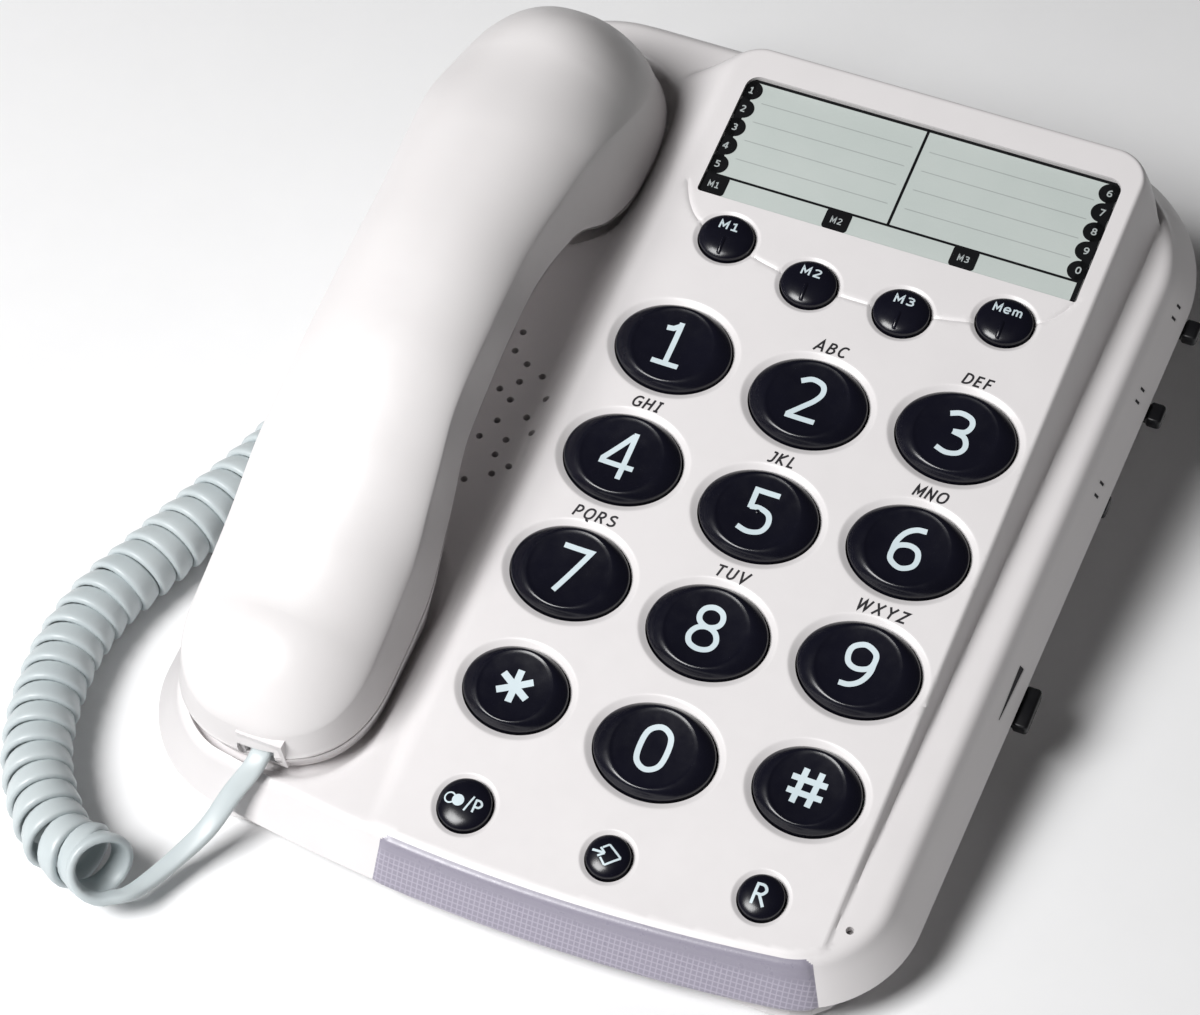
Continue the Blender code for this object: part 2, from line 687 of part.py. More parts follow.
def handset_parts(white, dark, steel, clear):
    top = [(1.0, seam, False), (1.0, crease, False)]
    top += [(part, dome(part), False) for part in (0.93, 0.72, 0.4, 0.0)]
    back_shell = handset_shell("handset_back_shell", top, white, 1)
    low = [(1.0, under(0), False), (1.0, under(0.18), False), (0.95, under(0.7), True)]
    low += [(part, under(1), True) for part in (0.86, 0.45, 0.0)]
    front_shell = handset_shell("handset_front_shell", low, white, -1)
    notch = bmesh.new()
    x, height = LIFT_JACK
    add_box_between(notch, (x - 5.6, -5, height - 4.6), (x + 5.6, 18.5, height + 5.2))
    cutter = finish("handset_jack_cutter", notch, RIM, None, keep=False)
    boolean(back_shell, cutter, 'DIFFERENCE')
    boolean(front_shell, cutter, 'DIFFERENCE')

    jack = bmesh.new()
    add_box_between(jack, (x - 5.2, 4.6, height - 4.2), (x + 5.2, 18.0, height + 4.8))
    jack = finish("handset_jack", jack, RIM, dark)
    socket = bmesh.new()
    add_box_between(socket, (x - 4.15, 0, height - 3.4), (x + 4.15, 15.2, height + 3.5))
    boolean(jack, finish("handset_jack_socket", socket, RIM, None, keep=False), 'DIFFERENCE')
    plug = bmesh.new()
    add_box_between(plug, (x - 3.8, 5.4, height - 3.0), (x + 3.8, 14.6, height + 3.1))
    finish("handset_cord_plug", plug, RIM, clear)

    receiver = bmesh.new()
    add_cylinder(receiver, (-57.6, 168, 1.2), 15, 8, sides=24)
    finish("handset_receiver", receiver, RIM, dark)
    microphone = bmesh.new()
    add_cylinder(microphone, (-55.8, 36, 2.4), 4.8, 4.5, sides=16)
    finish("handset_microphone", microphone, RIM, steel)
    weight = bmesh.new()
    add_box_between(weight, (-65, 84, 25.2), (-50, 120, 29.2))
    finish("handset_weight", weight, RIM, steel)


# ---------------------------------------------------------------- sockets, cord, feet, screws

def base_sockets(dark, clear):
    jack = bmesh.new()
    add_box_between(jack, (-78.2, JACK_Y - 5.9, JACK_Z - 5.4), (-64, JACK_Y + 5.9, JACK_Z + 5.4))
    jack = finish("handset_jack_base", jack, DESK, dark)
    hollow = bmesh.new()
    add_box_between(hollow, (-90, JACK_Y - 4.15, JACK_Z - 3.4), (-67, JACK_Y + 4.15, JACK_Z + 3.5))
    boolean(jack, finish("base_jack_hollow", hollow, DESK, None, keep=False), 'DIFFERENCE')
    plug = bmesh.new()
    add_box_between(plug, (-84.0, JACK_Y - 3.8, JACK_Z - 3.0), (-67.6, JACK_Y + 3.8, JACK_Z + 3.1))
    finish("base_cord_plug", plug, DESK, clear)

    line = bmesh.new()
    add_box_between(line, (-46.9, 182, 7.1), (-33.1, 197.6, 19.9))
    line = finish("line_jack", line, DESK, dark)
    hollow = bmesh.new()
    add_box_between(hollow, (-45.0, 185.6, 9.6), (-35.0, 205, 16.8))
    boolean(line, finish("line_jack_hollow", hollow, DESK, None, keep=False), 'DIFFERENCE')


def cord_parts(material):
    make_tube("cord_coil", even_route(COIL_ROUTE, 8.5), COIL_RADIUS, DESK, material, resolution=4)
    make_tube("cord_lead_handset", even_route(HANDSET_LEAD, 4.0), LEAD_RADIUS, DESK, material)
    make_tube("cord_lead_base", even_route(BASE_LEAD, 4.0), LEAD_RADIUS, DESK, material)


def feet_and_screws(rubber, steel):
    for number, (x, y) in enumerate(((-58, 12), (58, 12), (-56, 176), (56, 176)), 1):
        foot = bmesh.new()
        add_cylinder(foot, (x, y, 0.85), 6.5, 1.7, sides=20)
        finish(f"foot_{number}", foot, DESK, rubber)
    for number, (x, along, boss_top, root) in enumerate(SCREWS, 1):
        y = rim_to_desk(x, along, root)[1]
        screw = bmesh.new()
        levels = ((2.9, 2.8), (2.9, 4.6), (1.25, 4.6), (1.25, boss_top + 6.5), (0.3, boss_top + 7.5))
        add_loft(screw, [oval((x, y), (radius, radius), z, 12) for radius, z in levels])
        finish(f"screw_{number}", screw, DESK, steel)


def main():
    white = make_material("warm_white_plastic", WHITE, 0.42)
    black = make_material("gloss_black_plastic", DARK, 0.12)
    dark = make_material("dark_plastic", DARK, 0.5)
    cord = make_material("cord_jacket", GREY, 0.5)
    clear = make_material("clear_plastic", (0.8, 0.82, 0.85), 0.1)
    lilac = make_material("light_bar_plastic", (0.45, 0.42, 0.55), 0.3)
    paper = make_material("index_paper", (0.55, 0.6, 0.57), 0.8)
    board = make_material("circuit_board", (0.05, 0.22, 0.08), 0.6)
    rubber = make_material("rubber", (0.05, 0.05, 0.05), 0.9)
    mat = make_material("silicone_mat", (0.3, 0.3, 0.32), 0.7)
    steel = make_material("steel", (0.55, 0.55, 0.56), 0.35, 1.0)

    upper_housing(white)
    lower_housing(white)
    light_lens(lilac)
    plate("index_card", (-19.9, 160.4, -1.9), (66.4, 191.5, -1.5), KEYS, paper)
    plate("index_window", (-19.9, 160.4, -1.2), (66.4, 191.5, 0.2), KEYS, clear)
    plate("main_board", (-24, 5, -11.2), (65, 154, -9.6), KEYS, board)
    plate("keypad_mat", (-23, 5.5, -8.2), (64, 153.5, -6.4), KEYS, mat)
    for name, x, along, half, sides in key_table():
        make_key(name, x, along, half, sides, black)
    for name, along, half, end, travel in SIDE_CONTROLS:
        side_control(name, along, half, end, black)
    hook_parts(dark, steel)

    speaker = bmesh.new()
    add_cylinder(speaker, (GRILLE_X, 98, -8.0), 16, 7, sides=24, top_radius=13)
    finish("ringer_speaker", speaker, RIM, dark)
    capsule = bmesh.new()
    add_cylinder(capsule, (71.6, 12.8, -4.6), 2.8, 3, sides=12)
    finish("panel_microphone", capsule, RIM, steel)
    for name, x in (("ring_led_left", 6), ("ring_led_right", 36)):
        lamp = bmesh.new()
        add_cylinder(lamp, (x, 1.8, -6.6), 2.4, 5.4, axis='Y', sides=12)
        finish(name, lamp, KEYS, clear)

    handset_parts(white, dark, steel, clear)
    base_sockets(dark, clear)
    cord_parts(cord)
    feet_and_screws(rubber, steel)


main()
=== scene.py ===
"""Looks of the corded desk telephone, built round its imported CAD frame."""
import math

import bmesh
import bpy
import numpy as np
from mathutils import Matrix, Quaternion, Vector
from mathutils.geometry import delaunay_2d_cdt


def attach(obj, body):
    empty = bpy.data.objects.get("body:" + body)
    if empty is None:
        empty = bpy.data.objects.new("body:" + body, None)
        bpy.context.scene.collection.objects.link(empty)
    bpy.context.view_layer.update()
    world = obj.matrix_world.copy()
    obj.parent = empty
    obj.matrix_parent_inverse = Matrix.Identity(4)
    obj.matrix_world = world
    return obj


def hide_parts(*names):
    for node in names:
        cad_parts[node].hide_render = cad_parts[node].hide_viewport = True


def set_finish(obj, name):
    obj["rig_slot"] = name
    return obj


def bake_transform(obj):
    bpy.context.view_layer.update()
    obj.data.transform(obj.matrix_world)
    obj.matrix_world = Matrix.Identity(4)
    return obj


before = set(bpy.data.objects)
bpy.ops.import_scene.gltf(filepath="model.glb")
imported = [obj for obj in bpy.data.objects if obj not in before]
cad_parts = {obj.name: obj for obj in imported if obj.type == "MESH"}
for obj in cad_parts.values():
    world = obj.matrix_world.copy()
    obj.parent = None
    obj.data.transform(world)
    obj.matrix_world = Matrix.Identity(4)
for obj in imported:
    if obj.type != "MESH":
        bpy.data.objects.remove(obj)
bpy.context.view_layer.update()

# Shapes are drawn in millimetres in one of three frames and scaled once, when they are placed.
MM = 0.001
BODY_X, APEX_Y, APEX_Z = -1.98, -101.72, 16.5
RIM_TILT, KEY_TILT = math.radians(10.0), math.radians(14.0)
WEDGE = KEY_TILT - RIM_TILT
DESK = Matrix.Translation((BODY_X, APEX_Y, 0))
RIM = Matrix.Translation((BODY_X, APEX_Y, APEX_Z)) @ Matrix.Rotation(RIM_TILT, 4, 'X')
KEYS = Matrix.Translation((BODY_X, APEX_Y, APEX_Z)) @ Matrix.Rotation(KEY_TILT, 4, 'X')

# Rim and skirt of the upper housing.
RIM_FRONT, RIM_BACK = 3.8, 207.2
RIM_HALF_FRONT, RIM_HALF_BACK = 78.8, 82.6
RIM_FRONT_RADIUS, RIM_BACK_RADIUS = 16.7, 29.7
FRONT_BULGE = 7.9
RIM_EDGE = -3.0               # where the flat top ends and the rounded edge begins
EDGE_PROFILE = ((-2.4, -0.05), (-1.8, -0.2), (-1.2, -0.48), (-0.65, -0.9), (-0.2, -1.45),
                (0.15, -2.1), (1.2, -3.5), (2.5, -5.2), (3.8, -7.0), (4.8, -8.3), (5.05, -8.7),
                (4.95, -8.95), (4.5, -9.0), (3.0, -9.0), (2.3, -8.3), (-2.4, -2.6), (-5.0, -2.5))
LIGHT_LEFT, LIGHT_RIGHT, BAR_CORNER = -22.6, 68.6, 2.4
LENS_ROWS = (2, 14)           # rows of the edge profile that the light bar takes the place of

# Keypad panel, a wedge growing out of the rim.
PANEL_LEFT, PANEL_RIGHT, PANEL_RIGHT_SPREAD = -26.3, 69.3, 1.5
PANEL_BACK, PANEL_CORNER = 199.5, 8.0
STEEP_RIGHT, STEEP_LEFT, STEEP_BACK = 2.9, 1.0, 3.8
SOFT_RIGHT, SOFT_LEFT, SOFT_BACK = 1.3, 2.2, 4.0      # rounding where each side starts

# Keys: grid, ovals and round sizes.
KEY_X, KEY_PITCH_X = 22.2, 32.0
KEY_TOP_ROW, KEY_PITCH_Y, KEY_SMILE = 118.7, 28.2, 2.8
DIGIT_OVAL, SYMBOL_OVAL, MEMORY_OVAL = (12.85, 10.25), (11.2, 9.25), (6.15, 5.5)
HOLE_CLEARANCE, BIG_DISH, SMALL_DISH = 0.35, (1.5, 0.95), (1.0, 0.6)    # dish: width, depth
WINDOW = (-20.3, 66.8, 160.0, 191.9)                  # left, right, low, high

# Wells of the cradle: x, distance up, half width, half length, corner radius, depth.
EAR_WELL = (-57.6, 169.5, 21.6, 27.5, 18.0, 7.0)
MOUTH_WELL = (-55.7, 34.5, 23.2, 32.6, 19.0, 3.0)

# Curly cord: axis of the coil and the straight leads at its two ends, in the desk frame.
CORD_WIDTH, CORD_THICKNESS, COIL_RADIUS, COIL_PITCH = 5.5, 2.0, 6.2, 5.3
COIL_ROUTE = ((-72.2, -28.9, 11.2), (-74.4, -27.0, 9.3), (-78.2, -25.9, 8.2), (-84.4, -24.6, 8),
              (-92.1, -18.3, 8), (-99.9, -8.2, 8), (-105.1, 4.7, 8), (-108.0, 20.1, 8),
              (-107.3, 33.7, 8), (-104.6, 43.6, 8), (-99.7, 60.4, 8), (-95.4, 74.0, 8),
              (-91.9, 88.0, 8), (-90.9, 101.0, 8), (-91.6, 114.0, 8))
HANDSET_LEAD = ((-51.9, 3.9, 21.5), (-51.9, 2.4, 21.2), (-52.7, 0.0, 19.3), (-55.6, -3.8, 14.4),
                (-58.6, -10.4, 8.8), (-62.7, -18.8, 5.6), (-65.4, -25.4, 5.2))
BASE_LEAD = ((-97.1, 114.6, 1.6), (-101.2, 118.4, 2.6), (-101.4, 124.4, 5.4), (-98.0, 129.2, 9.4),
             (-92.6, 131.0, 12.4), (-88.0, 131.1, 13.0), (-84.4, 131.0, 13.0))


# ---------------------------------------------------------------- camera

CAMERA_AT, CAMERA_TARGET = (0.17655, -0.42513, 0.56936), (-0.01385, -0.01863, 0.030)
CAMERA_ROLL = -1.529


def make_camera():
    data = bpy.data.cameras.new("camera")
    data.lens, data.sensor_width = 99.51, 36
    camera = bpy.data.objects.new("camera", data)
    bpy.context.scene.collection.objects.link(camera)
    aim = (Vector(CAMERA_TARGET) - Vector(CAMERA_AT)).to_track_quat('-Z', 'Y')
    camera.rotation_mode = 'QUATERNION'
    camera.rotation_quaternion = aim @ Quaternion((0, 0, 1), math.radians(CAMERA_ROLL))
    camera.location = CAMERA_AT
    bpy.context.scene.camera = camera


# ---------------------------------------------------------------- materials

def new_material(name):
    material = bpy.data.materials.new(name)
    material.use_nodes = True
    tree = material.node_tree
    return material, tree, tree.nodes["Principled BSDF"]


def set_inputs(node, values):
    for name, value in values.items():
        node.inputs[name.replace("_", " ")].default_value = value


def add_node(tree, kind, **values):
    node = tree.nodes.new("ShaderNode" + kind)
    set_inputs(node, values)
    return node


def noise(tree, scale, detail=2.0):
    """Noise in object space; `scale` is the feature size in millimetres."""
    texture = add_node(tree, "TexNoise", Scale=1 / (scale * MM), Detail=detail)
    tree.links.new(add_node(tree, "TexCoord").outputs["Object"], texture.inputs["Vector"])
    return texture.outputs["Fac"]


def mapped(tree, source, low, high, source_low=0.3, source_high=0.7):
    step = add_node(tree, "MapRange", From_Min=source_low, From_Max=source_high, To_Min=low,
                    To_Max=high)
    tree.links.new(source, step.inputs["Value"])
    return step.outputs["Result"]


def colour_mix(tree, factor, colour):
    """A mix towards `colour`; its other end, input A, is left to the caller."""
    mix = tree.nodes.new("ShaderNodeMix")
    mix.data_type = 'RGBA'
    mix.inputs["B"].default_value = (*colour, 1)
    tree.links.new(factor, mix.inputs["Factor"])
    return mix


def join(tree, shader, mix, gloss, height, relief, depth):
    """Link colour, roughness and a bump of `depth` metres to the shader."""
    bump = add_node(tree, "Bump", Strength=relief, Distance=depth)
    tree.links.new(height, bump.inputs["Height"])
    tree.links.new(mix.outputs["Result"], shader.inputs["Base Color"])
    tree.links.new(gloss, shader.inputs["Roughness"])
    tree.links.new(bump.outputs["Normal"], shader.inputs["Normal"])


def plastic(name, colour, other, roughness, grain, relief, **sockets):
    """Moulded surface: cloudy colour, patchy gloss and a fine grain of `grain` millimetres."""
    material, tree, shader = new_material(f"{name}_look")
    cloud = mapped(tree, noise(tree, 14.0, 3.0), 0, 1)
    mix = colour_mix(tree, cloud, other)
    mix.inputs["A"].default_value = (*colour, 1)
    gloss = mapped(tree, noise(tree, 3.0, 4.0), *roughness)
    join(tree, shader, mix, gloss, noise(tree, grain), relief, GRAIN_DEPTH)
    set_inputs(shader, sockets)
    return material


def grid_plastic():
    """The light bar: lilac plastic over a fine square grid that fades out near its top edge."""
    material, tree, shader = new_material("light_bar_look")
    where = add_node(tree, "TexCoord").outputs["Object"]
    turn = add_node(tree, "Mapping", Rotation=(GRID_TURN, 0, 0))
    bricks = add_node(tree, "TexBrick", Scale=1 / (GRID_PITCH * MM), Brick_Width=1.0,
                      Row_Height=1.0, Mortar_Size=0.2, Mortar_Smooth=0.9,
                      Color1=(*LILAC, 1), Color2=(*LILAC, 1), Mortar=(*GRID_LINE, 1))
    bricks.offset = 0.0
    level = add_node(tree, "SeparateXYZ")
    tree.links.new(where, turn.inputs["Vector"])
    tree.links.new(turn.outputs["Vector"], bricks.inputs["Vector"])
    tree.links.new(where, level.inputs["Vector"])
    fade = mapped(tree, level.outputs["Z"], 0, 1, *GRID_FADE)
    mix = colour_mix(tree, fade, LILAC)
    tree.links.new(bricks.outputs["Color"], mix.inputs["A"])
    gloss = mapped(tree, noise(tree, 2.0, 3.0), 0.26, 0.34)
    join(tree, shader, mix, gloss, bricks.outputs["Fac"], 0.05, GRID_DEPTH)
    set_inputs(shader, {"Subsurface Weight": 0.15, "Subsurface Radius": (0.002, 0.002, 0.002)})
    return material


GRAIN_DEPTH, GRID_DEPTH = 0.00005, 0.0001
LILAC, GRID_LINE = (0.30, 0.282, 0.345), (0.42, 0.39, 0.47)
GRID_PITCH, GRID_TURN, GRID_FADE = 1.15, math.radians(117), (0.0125, 0.0140)

# Each look: material, two colours, roughness from and to, grain in millimetres, relief, more
# sockets.
LOOKS = {
    "white": ("warm_white_plastic", (0.76, 0.735, 0.738), (0.74, 0.715, 0.718), (0.30, 0.40), 0.28,
              0.22, dict(Coat_Weight=0.12, Coat_Roughness=0.25)),
    "handset": ("handset_white", (0.76, 0.737, 0.737), (0.745, 0.72, 0.72), (0.32, 0.42), 0.28,
                0.2),
    "black": ("gloss_black", (0.0035, 0.0035, 0.008), (0.005, 0.005, 0.011), (0.20, 0.28), 0.5,
              0.05, dict(Specular_IOR_Level=0.42)),
    "dark": ("dark_plastic", (0.022, 0.022, 0.025), (0.03, 0.03, 0.034), (0.42, 0.6), 0.3, 0.4),
    "knob": ("knob", (0.004, 0.004, 0.005), (0.007, 0.007, 0.008), (0.35, 0.45), 0.3, 0.3,
             dict(Specular_IOR_Level=0.3)),
    "cord": ("cord_jacket", (0.50, 0.555, 0.57), (0.54, 0.59, 0.60), (0.34, 0.46), 0.35, 0.25,
             dict(Coat_Weight=0.1, Coat_Roughness=0.3)),
    "clear": ("clear_plastic", (0.03, 0.035, 0.035), (0.04, 0.045, 0.045), (0.05, 0.09), 1.2, 0.05,
              dict(Alpha=0.05, Specular_IOR_Level=0.25)),
    "plug": ("plug_plastic", (0.78, 0.82, 0.84), (0.74, 0.78, 0.8), (0.08, 0.14), 1.0, 0.05,
             dict(Alpha=0.75)),
    "paper": ("index_paper", (0.545, 0.60, 0.575), (0.575, 0.625, 0.60), (0.62, 0.75), 0.4, 0.35),
    "ink": ("black_ink", (0.004, 0.004, 0.005), (0.006, 0.006, 0.007), (0.5, 0.6), 0.3, 0.2,
            dict(Specular_IOR_Level=0.12)),
    "rule": ("grey_ink", (0.36, 0.39, 0.38), (0.41, 0.44, 0.43), (0.6, 0.75), 0.4, 0.2),
    "legend": ("key_legend", (0.58, 0.68, 0.72), (0.64, 0.73, 0.77), (0.35, 0.5), 0.25, 0.3),
    "pale": ("card_legend", (0.42, 0.46, 0.46), (0.48, 0.52, 0.52), (0.4, 0.55), 0.25, 0.2),
    "letter": ("panel_letter", (0.012, 0.011, 0.014), (0.018, 0.016, 0.02), (0.45, 0.6), 0.25, 0.2),
    "board": ("circuit_board", (0.04, 0.2, 0.07), (0.05, 0.24, 0.09), (0.35, 0.5), 0.8, 0.4),
    "rubber": ("rubber", (0.03, 0.03, 0.03), (0.045, 0.045, 0.045), (0.75, 0.9), 0.5, 0.7),
    "mat": ("silicone", (0.28, 0.28, 0.3), (0.32, 0.32, 0.34), (0.6, 0.75), 0.8, 0.3),
    "steel": ("steel", (0.5, 0.5, 0.51), (0.58, 0.58, 0.58), (0.28, 0.42), 0.3, 0.4,
              dict(Metallic=1.0)),
    "floor": ("floor", (0.93, 0.93, 0.935), (0.92, 0.92, 0.925), (0.7, 0.8), 1.0, 0.1),
}


def make_materials():
    looks = {}
    for key, (*basic, last) in LOOKS.items():
        extra = last if isinstance(last, dict) else {}
        looks[key] = plastic(*basic, **extra) if extra else plastic(*basic, last)
    looks["lilac"] = grid_plastic()
    return looks


# ---------------------------------------------------------------- placing meshes

def place(name, verts, faces, space, materials, body, replaces=(), slots=None, sharp=35, slot=None):
    """Make an object from points in millimetres in the frame `space`, riding on a CAD body."""
    data = bpy.data.meshes.new(name)
    points = np.array(verts, float).reshape(-1, 3) * MM
    turn = np.array(space.to_3x3())
    shift = np.array(space.translation) * MM
    data.from_pydata((points @ turn.T + shift).tolist(), [], faces)
    made = bpy.data.objects.new(name, data)
    bpy.context.scene.collection.objects.link(made)
    for material in materials:
        data.materials.append(material)
    if slots is not None:
        data.polygons.foreach_set("material_index", slots)
    data.validate()
    data.shade_smooth()
    if sharp:
        data.set_sharp_from_angle(angle=math.radians(sharp))
    if body:
        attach(made, body)
    if replaces:
        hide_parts(*replaces)
    if slot:
        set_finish(made, slot)
    return made


class Shape:
    """Verts and faces gathered piece by piece, each with its material slot."""

    def __init__(self):
        self.verts, self.faces, self.slots = [], [], []

    def add(self, verts, faces, slot=0):
        base = len(self.verts)
        self.verts.extend(tuple(map(float, v)) for v in verts)
        self.faces.extend([tuple(base + i for i in f) for f in faces])
        self.slots.extend([slot] * len(faces))

    def loft(self, rings, slot=0, close=True, cap_first=False, cap_last=False):
        count = len(rings[0])
        faces = []
        for k in range(len(rings) - 1):
            for i in range(count if close else count - 1):
                j = (i + 1) % count
                here, above = k * count, (k + 1) * count
                faces.append((here + i, here + j, above + j, above + i))
        if cap_first:
            faces.append(tuple(range(count))[::-1])
        if cap_last:
            faces.append(tuple((len(rings) - 1) * count + i for i in range(count)))
        self.add([p for ring in rings for p in ring], faces, slot)

    def face(self, *corners):
        self.faces.append(corners)
        self.slots.append(0)

    def patch(self, x0, y0, x1, y1, z, slot=0):
        """A flat rectangle."""
        self.add([(x, y, z) for x, y in rectangle(x0, y0, x1, y1)], [(0, 1, 2, 3)], slot)

    def place(self, name, space, materials, body, **options):
        return place(name, self.verts, self.faces, space, materials, body, slots=self.slots,
                     **options)


def rectangle(x0, y0, x1, y1):
    return [(x0, y0), (x1, y0), (x1, y1), (x0, y1)]


def oval(x, y, radius_x, radius_y, count):
    turns = [2 * math.pi * i / count for i in range(count)]
    return [(x + radius_x * math.cos(t), y + radius_y * math.sin(t)) for t in turns]


def at_height(outline, z):
    return [(p[0], p[1], z) for p in outline]


def path_length(points):
    return sum((b - a).length for a, b in zip(points, points[1:]))


def smoothstep(t):
    t = np.clip(t, 0, 1)
    return t * t * (3 - 2 * t)


# ---------------------------------------------------------------- curly cord

def catmull(points, per_span):
    """Smooth curve through 3-D points, with `per_span` steps between neighbours."""
    p = [Vector(a) for a in points]
    p = [p[0] * 2 - p[1]] + p + [p[-1] * 2 - p[-2]]
    out = []
    for i in range(1, len(p) - 2):
        a, b, c, d = p[i - 1:i + 3]
        for k in range(per_span):
            t = k / per_span
            out.append(0.5 * (2 * b + (c - a) * t + (2 * a - 5 * b + 4 * c - d) * t * t
                              + (3 * b - a - 3 * c + d) * t ** 3))
    out.append(p[-2])
    return out


def even(points, count):
    """`count` + 1 points at even distances along a polyline."""
    run = [0.0]
    for a, b in zip(points, points[1:]):
        run.append(run[-1] + (b - a).length)
    out, k = [], 0
    for i in range(count + 1):
        want = run[-1] * i / count
        while k < len(points) - 2 and run[k + 1] < want:
            k += 1
        share = (want - run[k]) / max(1e-9, run[k + 1] - run[k])
        out.append(points[k].lerp(points[k + 1], min(1.0, share)))
    return out, run[-1]


def cord_path():
    """Centreline of the whole cord with the direction of the ribbon's width at each point."""
    per_turn = 24
    axis, length = even(catmull(COIL_ROUTE, 24), 1)
    turns = round(length / COIL_PITCH)
    axis, length = even(catmull(COIL_ROUTE, 24), turns * per_turn)
    coil = []
    for i, centre in enumerate(axis):
        along = (axis[min(i + 1, len(axis) - 1)] - axis[max(i - 1, 0)]).normalized()
        down = Vector((0, 0, -1))
        down = (down - along * down.dot(along)).normalized()
        side = along.cross(down)
        angle = 2 * math.pi * i / per_turn
        out = down * math.cos(angle) + side * math.sin(angle)
        inside = min(1.0, i / per_turn, (len(axis) - 1 - i) / per_turn)
        tilt = math.radians(15) * inside
        width = -along * math.cos(tilt) + out * math.sin(tilt)
        coil.append((centre + out * COIL_RADIUS, width))
    first, last = coil[0], coil[-1]
    heading_in = (coil[1][0] - coil[0][0]).normalized()
    heading_out = (coil[-1][0] - coil[-2][0]).normalized()
    lead_in = catmull([*HANDSET_LEAD, first[0] - heading_in * 3.2, first[0]], 6)[:-1]
    lead_out = catmull([last[0], last[0] + heading_out * 3.2, *BASE_LEAD], 6)[1:]
    lead_in = [(p, Vector((1, 0, 0)).lerp(first[1], smoothstep((i / len(lead_in) - 0.4) / 0.6)))
               for i, p in enumerate(lead_in)]
    lead_out = [(p, last[1].lerp(Vector((0, -1, 0)), smoothstep(i / len(lead_out) * 1.4)))
                for i, p in enumerate(lead_out)]
    return lead_in + coil + lead_out


def make_cord(materials):
    path = cord_path()
    sides, corner = 14, 0.62
    section = []
    for k in range(sides):
        a = 2 * math.pi * (k + 0.5) / sides
        c, s = math.cos(a), math.sin(a)
        section.append((CORD_WIDTH / 2 * math.copysign(abs(c) ** corner, c),
                        CORD_THICKNESS / 2 * math.copysign(abs(s) ** corner, s)))
    rings = []
    for i, (point, width) in enumerate(path):
        tangent = (path[min(i + 1, len(path) - 1)][0] - path[max(i - 1, 0)][0]).normalized()
        width = (width - tangent * width.dot(tangent)).normalized()
        thick = tangent.cross(width)
        slim = 1 - 0.2 * min(1.0, max(0.0, (point.x + 70) / 8))
        rings.append([point + width * a * slim + thick * b for a, b in section])
    shape = Shape()
    shape.loft(rings, cap_first=True, cap_last=True)
    cord = shape.place("curly_cord", DESK, [materials["cord"]], None, sharp=0)
    cord["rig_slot"] = "cord_jacket"
    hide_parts("cord_coil", "cord_lead_handset", "cord_lead_base")
    world = [(Vector(p) + Vector((BODY_X, APEX_Y, 0))) * MM for p, width in path]
    length = path_length(world)
    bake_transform(cord)
    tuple(world[0])


# ---------------------------------------------------------------- upper housing

def key_to_rim(x, along, height=0.0):
    return (x, along * math.cos(WEDGE) - height * math.sin(WEDGE),
            along * math.sin(WEDGE) + height * math.cos(WEDGE))


def key_table():
    """Every key: name, x, distance up the key plane, half sizes and legend."""
    names = ("key_1", "key_2", "key_3", "key_4", "key_5", "key_6", "key_7", "key_8", "key_9",
             "key_star", "key_0", "key_hash")
    keys = []
    for i, (name, legend) in enumerate(zip(names, "123456789*0#")):
        column, row = i % 3 - 1, i // 3
        half = SYMBOL_OVAL if legend in "*#" else DIGIT_OVAL
        keys.append((name, KEY_X + column * KEY_PITCH_X,
                     KEY_TOP_ROW - row * KEY_PITCH_Y + abs(column) * KEY_SMILE, half, legend))
    for name, x, along, legend in (("key_m1", -31.5, 150.5, "M1"), ("key_m2", -10.4, 145.5, "M2"),
                                   ("key_m3", 10.8, 145.5, "M3"), ("key_mem", 32.2, 150.5, "Mem")):
        keys.append((name, KEY_X + x, along, MEMORY_OVAL, legend))
    for name, x, along, radius, legend in (("key_pause", -31.4, 9.9, 5.6, "pause"),
                                           ("key_redial", 0.2, 9.8, 4.6, "redial"),
                                           ("key_flash", 31.8, 12.7, 4.7, "R")):
        keys.append((name, KEY_X + x, along, (radius, radius), legend))
    return keys


def is_big(half):
    return half[0] > 8


def ramp(value, soft):
    """max(value, 0) with its corner rounded over `soft` either side."""
    bend = (value + soft) ** 2 / (4 * soft)
    return np.where(value <= -soft, 0, np.where(value >= soft, value, bend))


def soft_max(a, b, soft):
    share = np.clip(0.5 + 0.5 * (a - b) / soft, 0, 1)
    return b + (a - b) * share + soft * share * (1 - share)


def box_distance(x, y, centre_x, centre_y, half_x, half_y, radius):
    qx, qy = abs(x - centre_x) - half_x + radius, abs(y - centre_y) - half_y + radius
    outside = np.hypot(np.maximum(qx, 0), np.maximum(qy, 0))
    return outside + np.minimum(np.maximum(qx, qy), 0) - radius


def oval_distance(x, y, centre_x, centre_y, half):
    """Near enough the distance outside an oval of these half sizes."""
    dx, dy = x - centre_x, y - centre_y
    k = np.maximum(np.hypot(dx / half[0], dy / half[1]), 1e-6)
    slope = np.maximum(np.hypot(dx / half[0] ** 2, dy / half[1] ** 2), 1e-6)
    return k * (k - 1) / slope


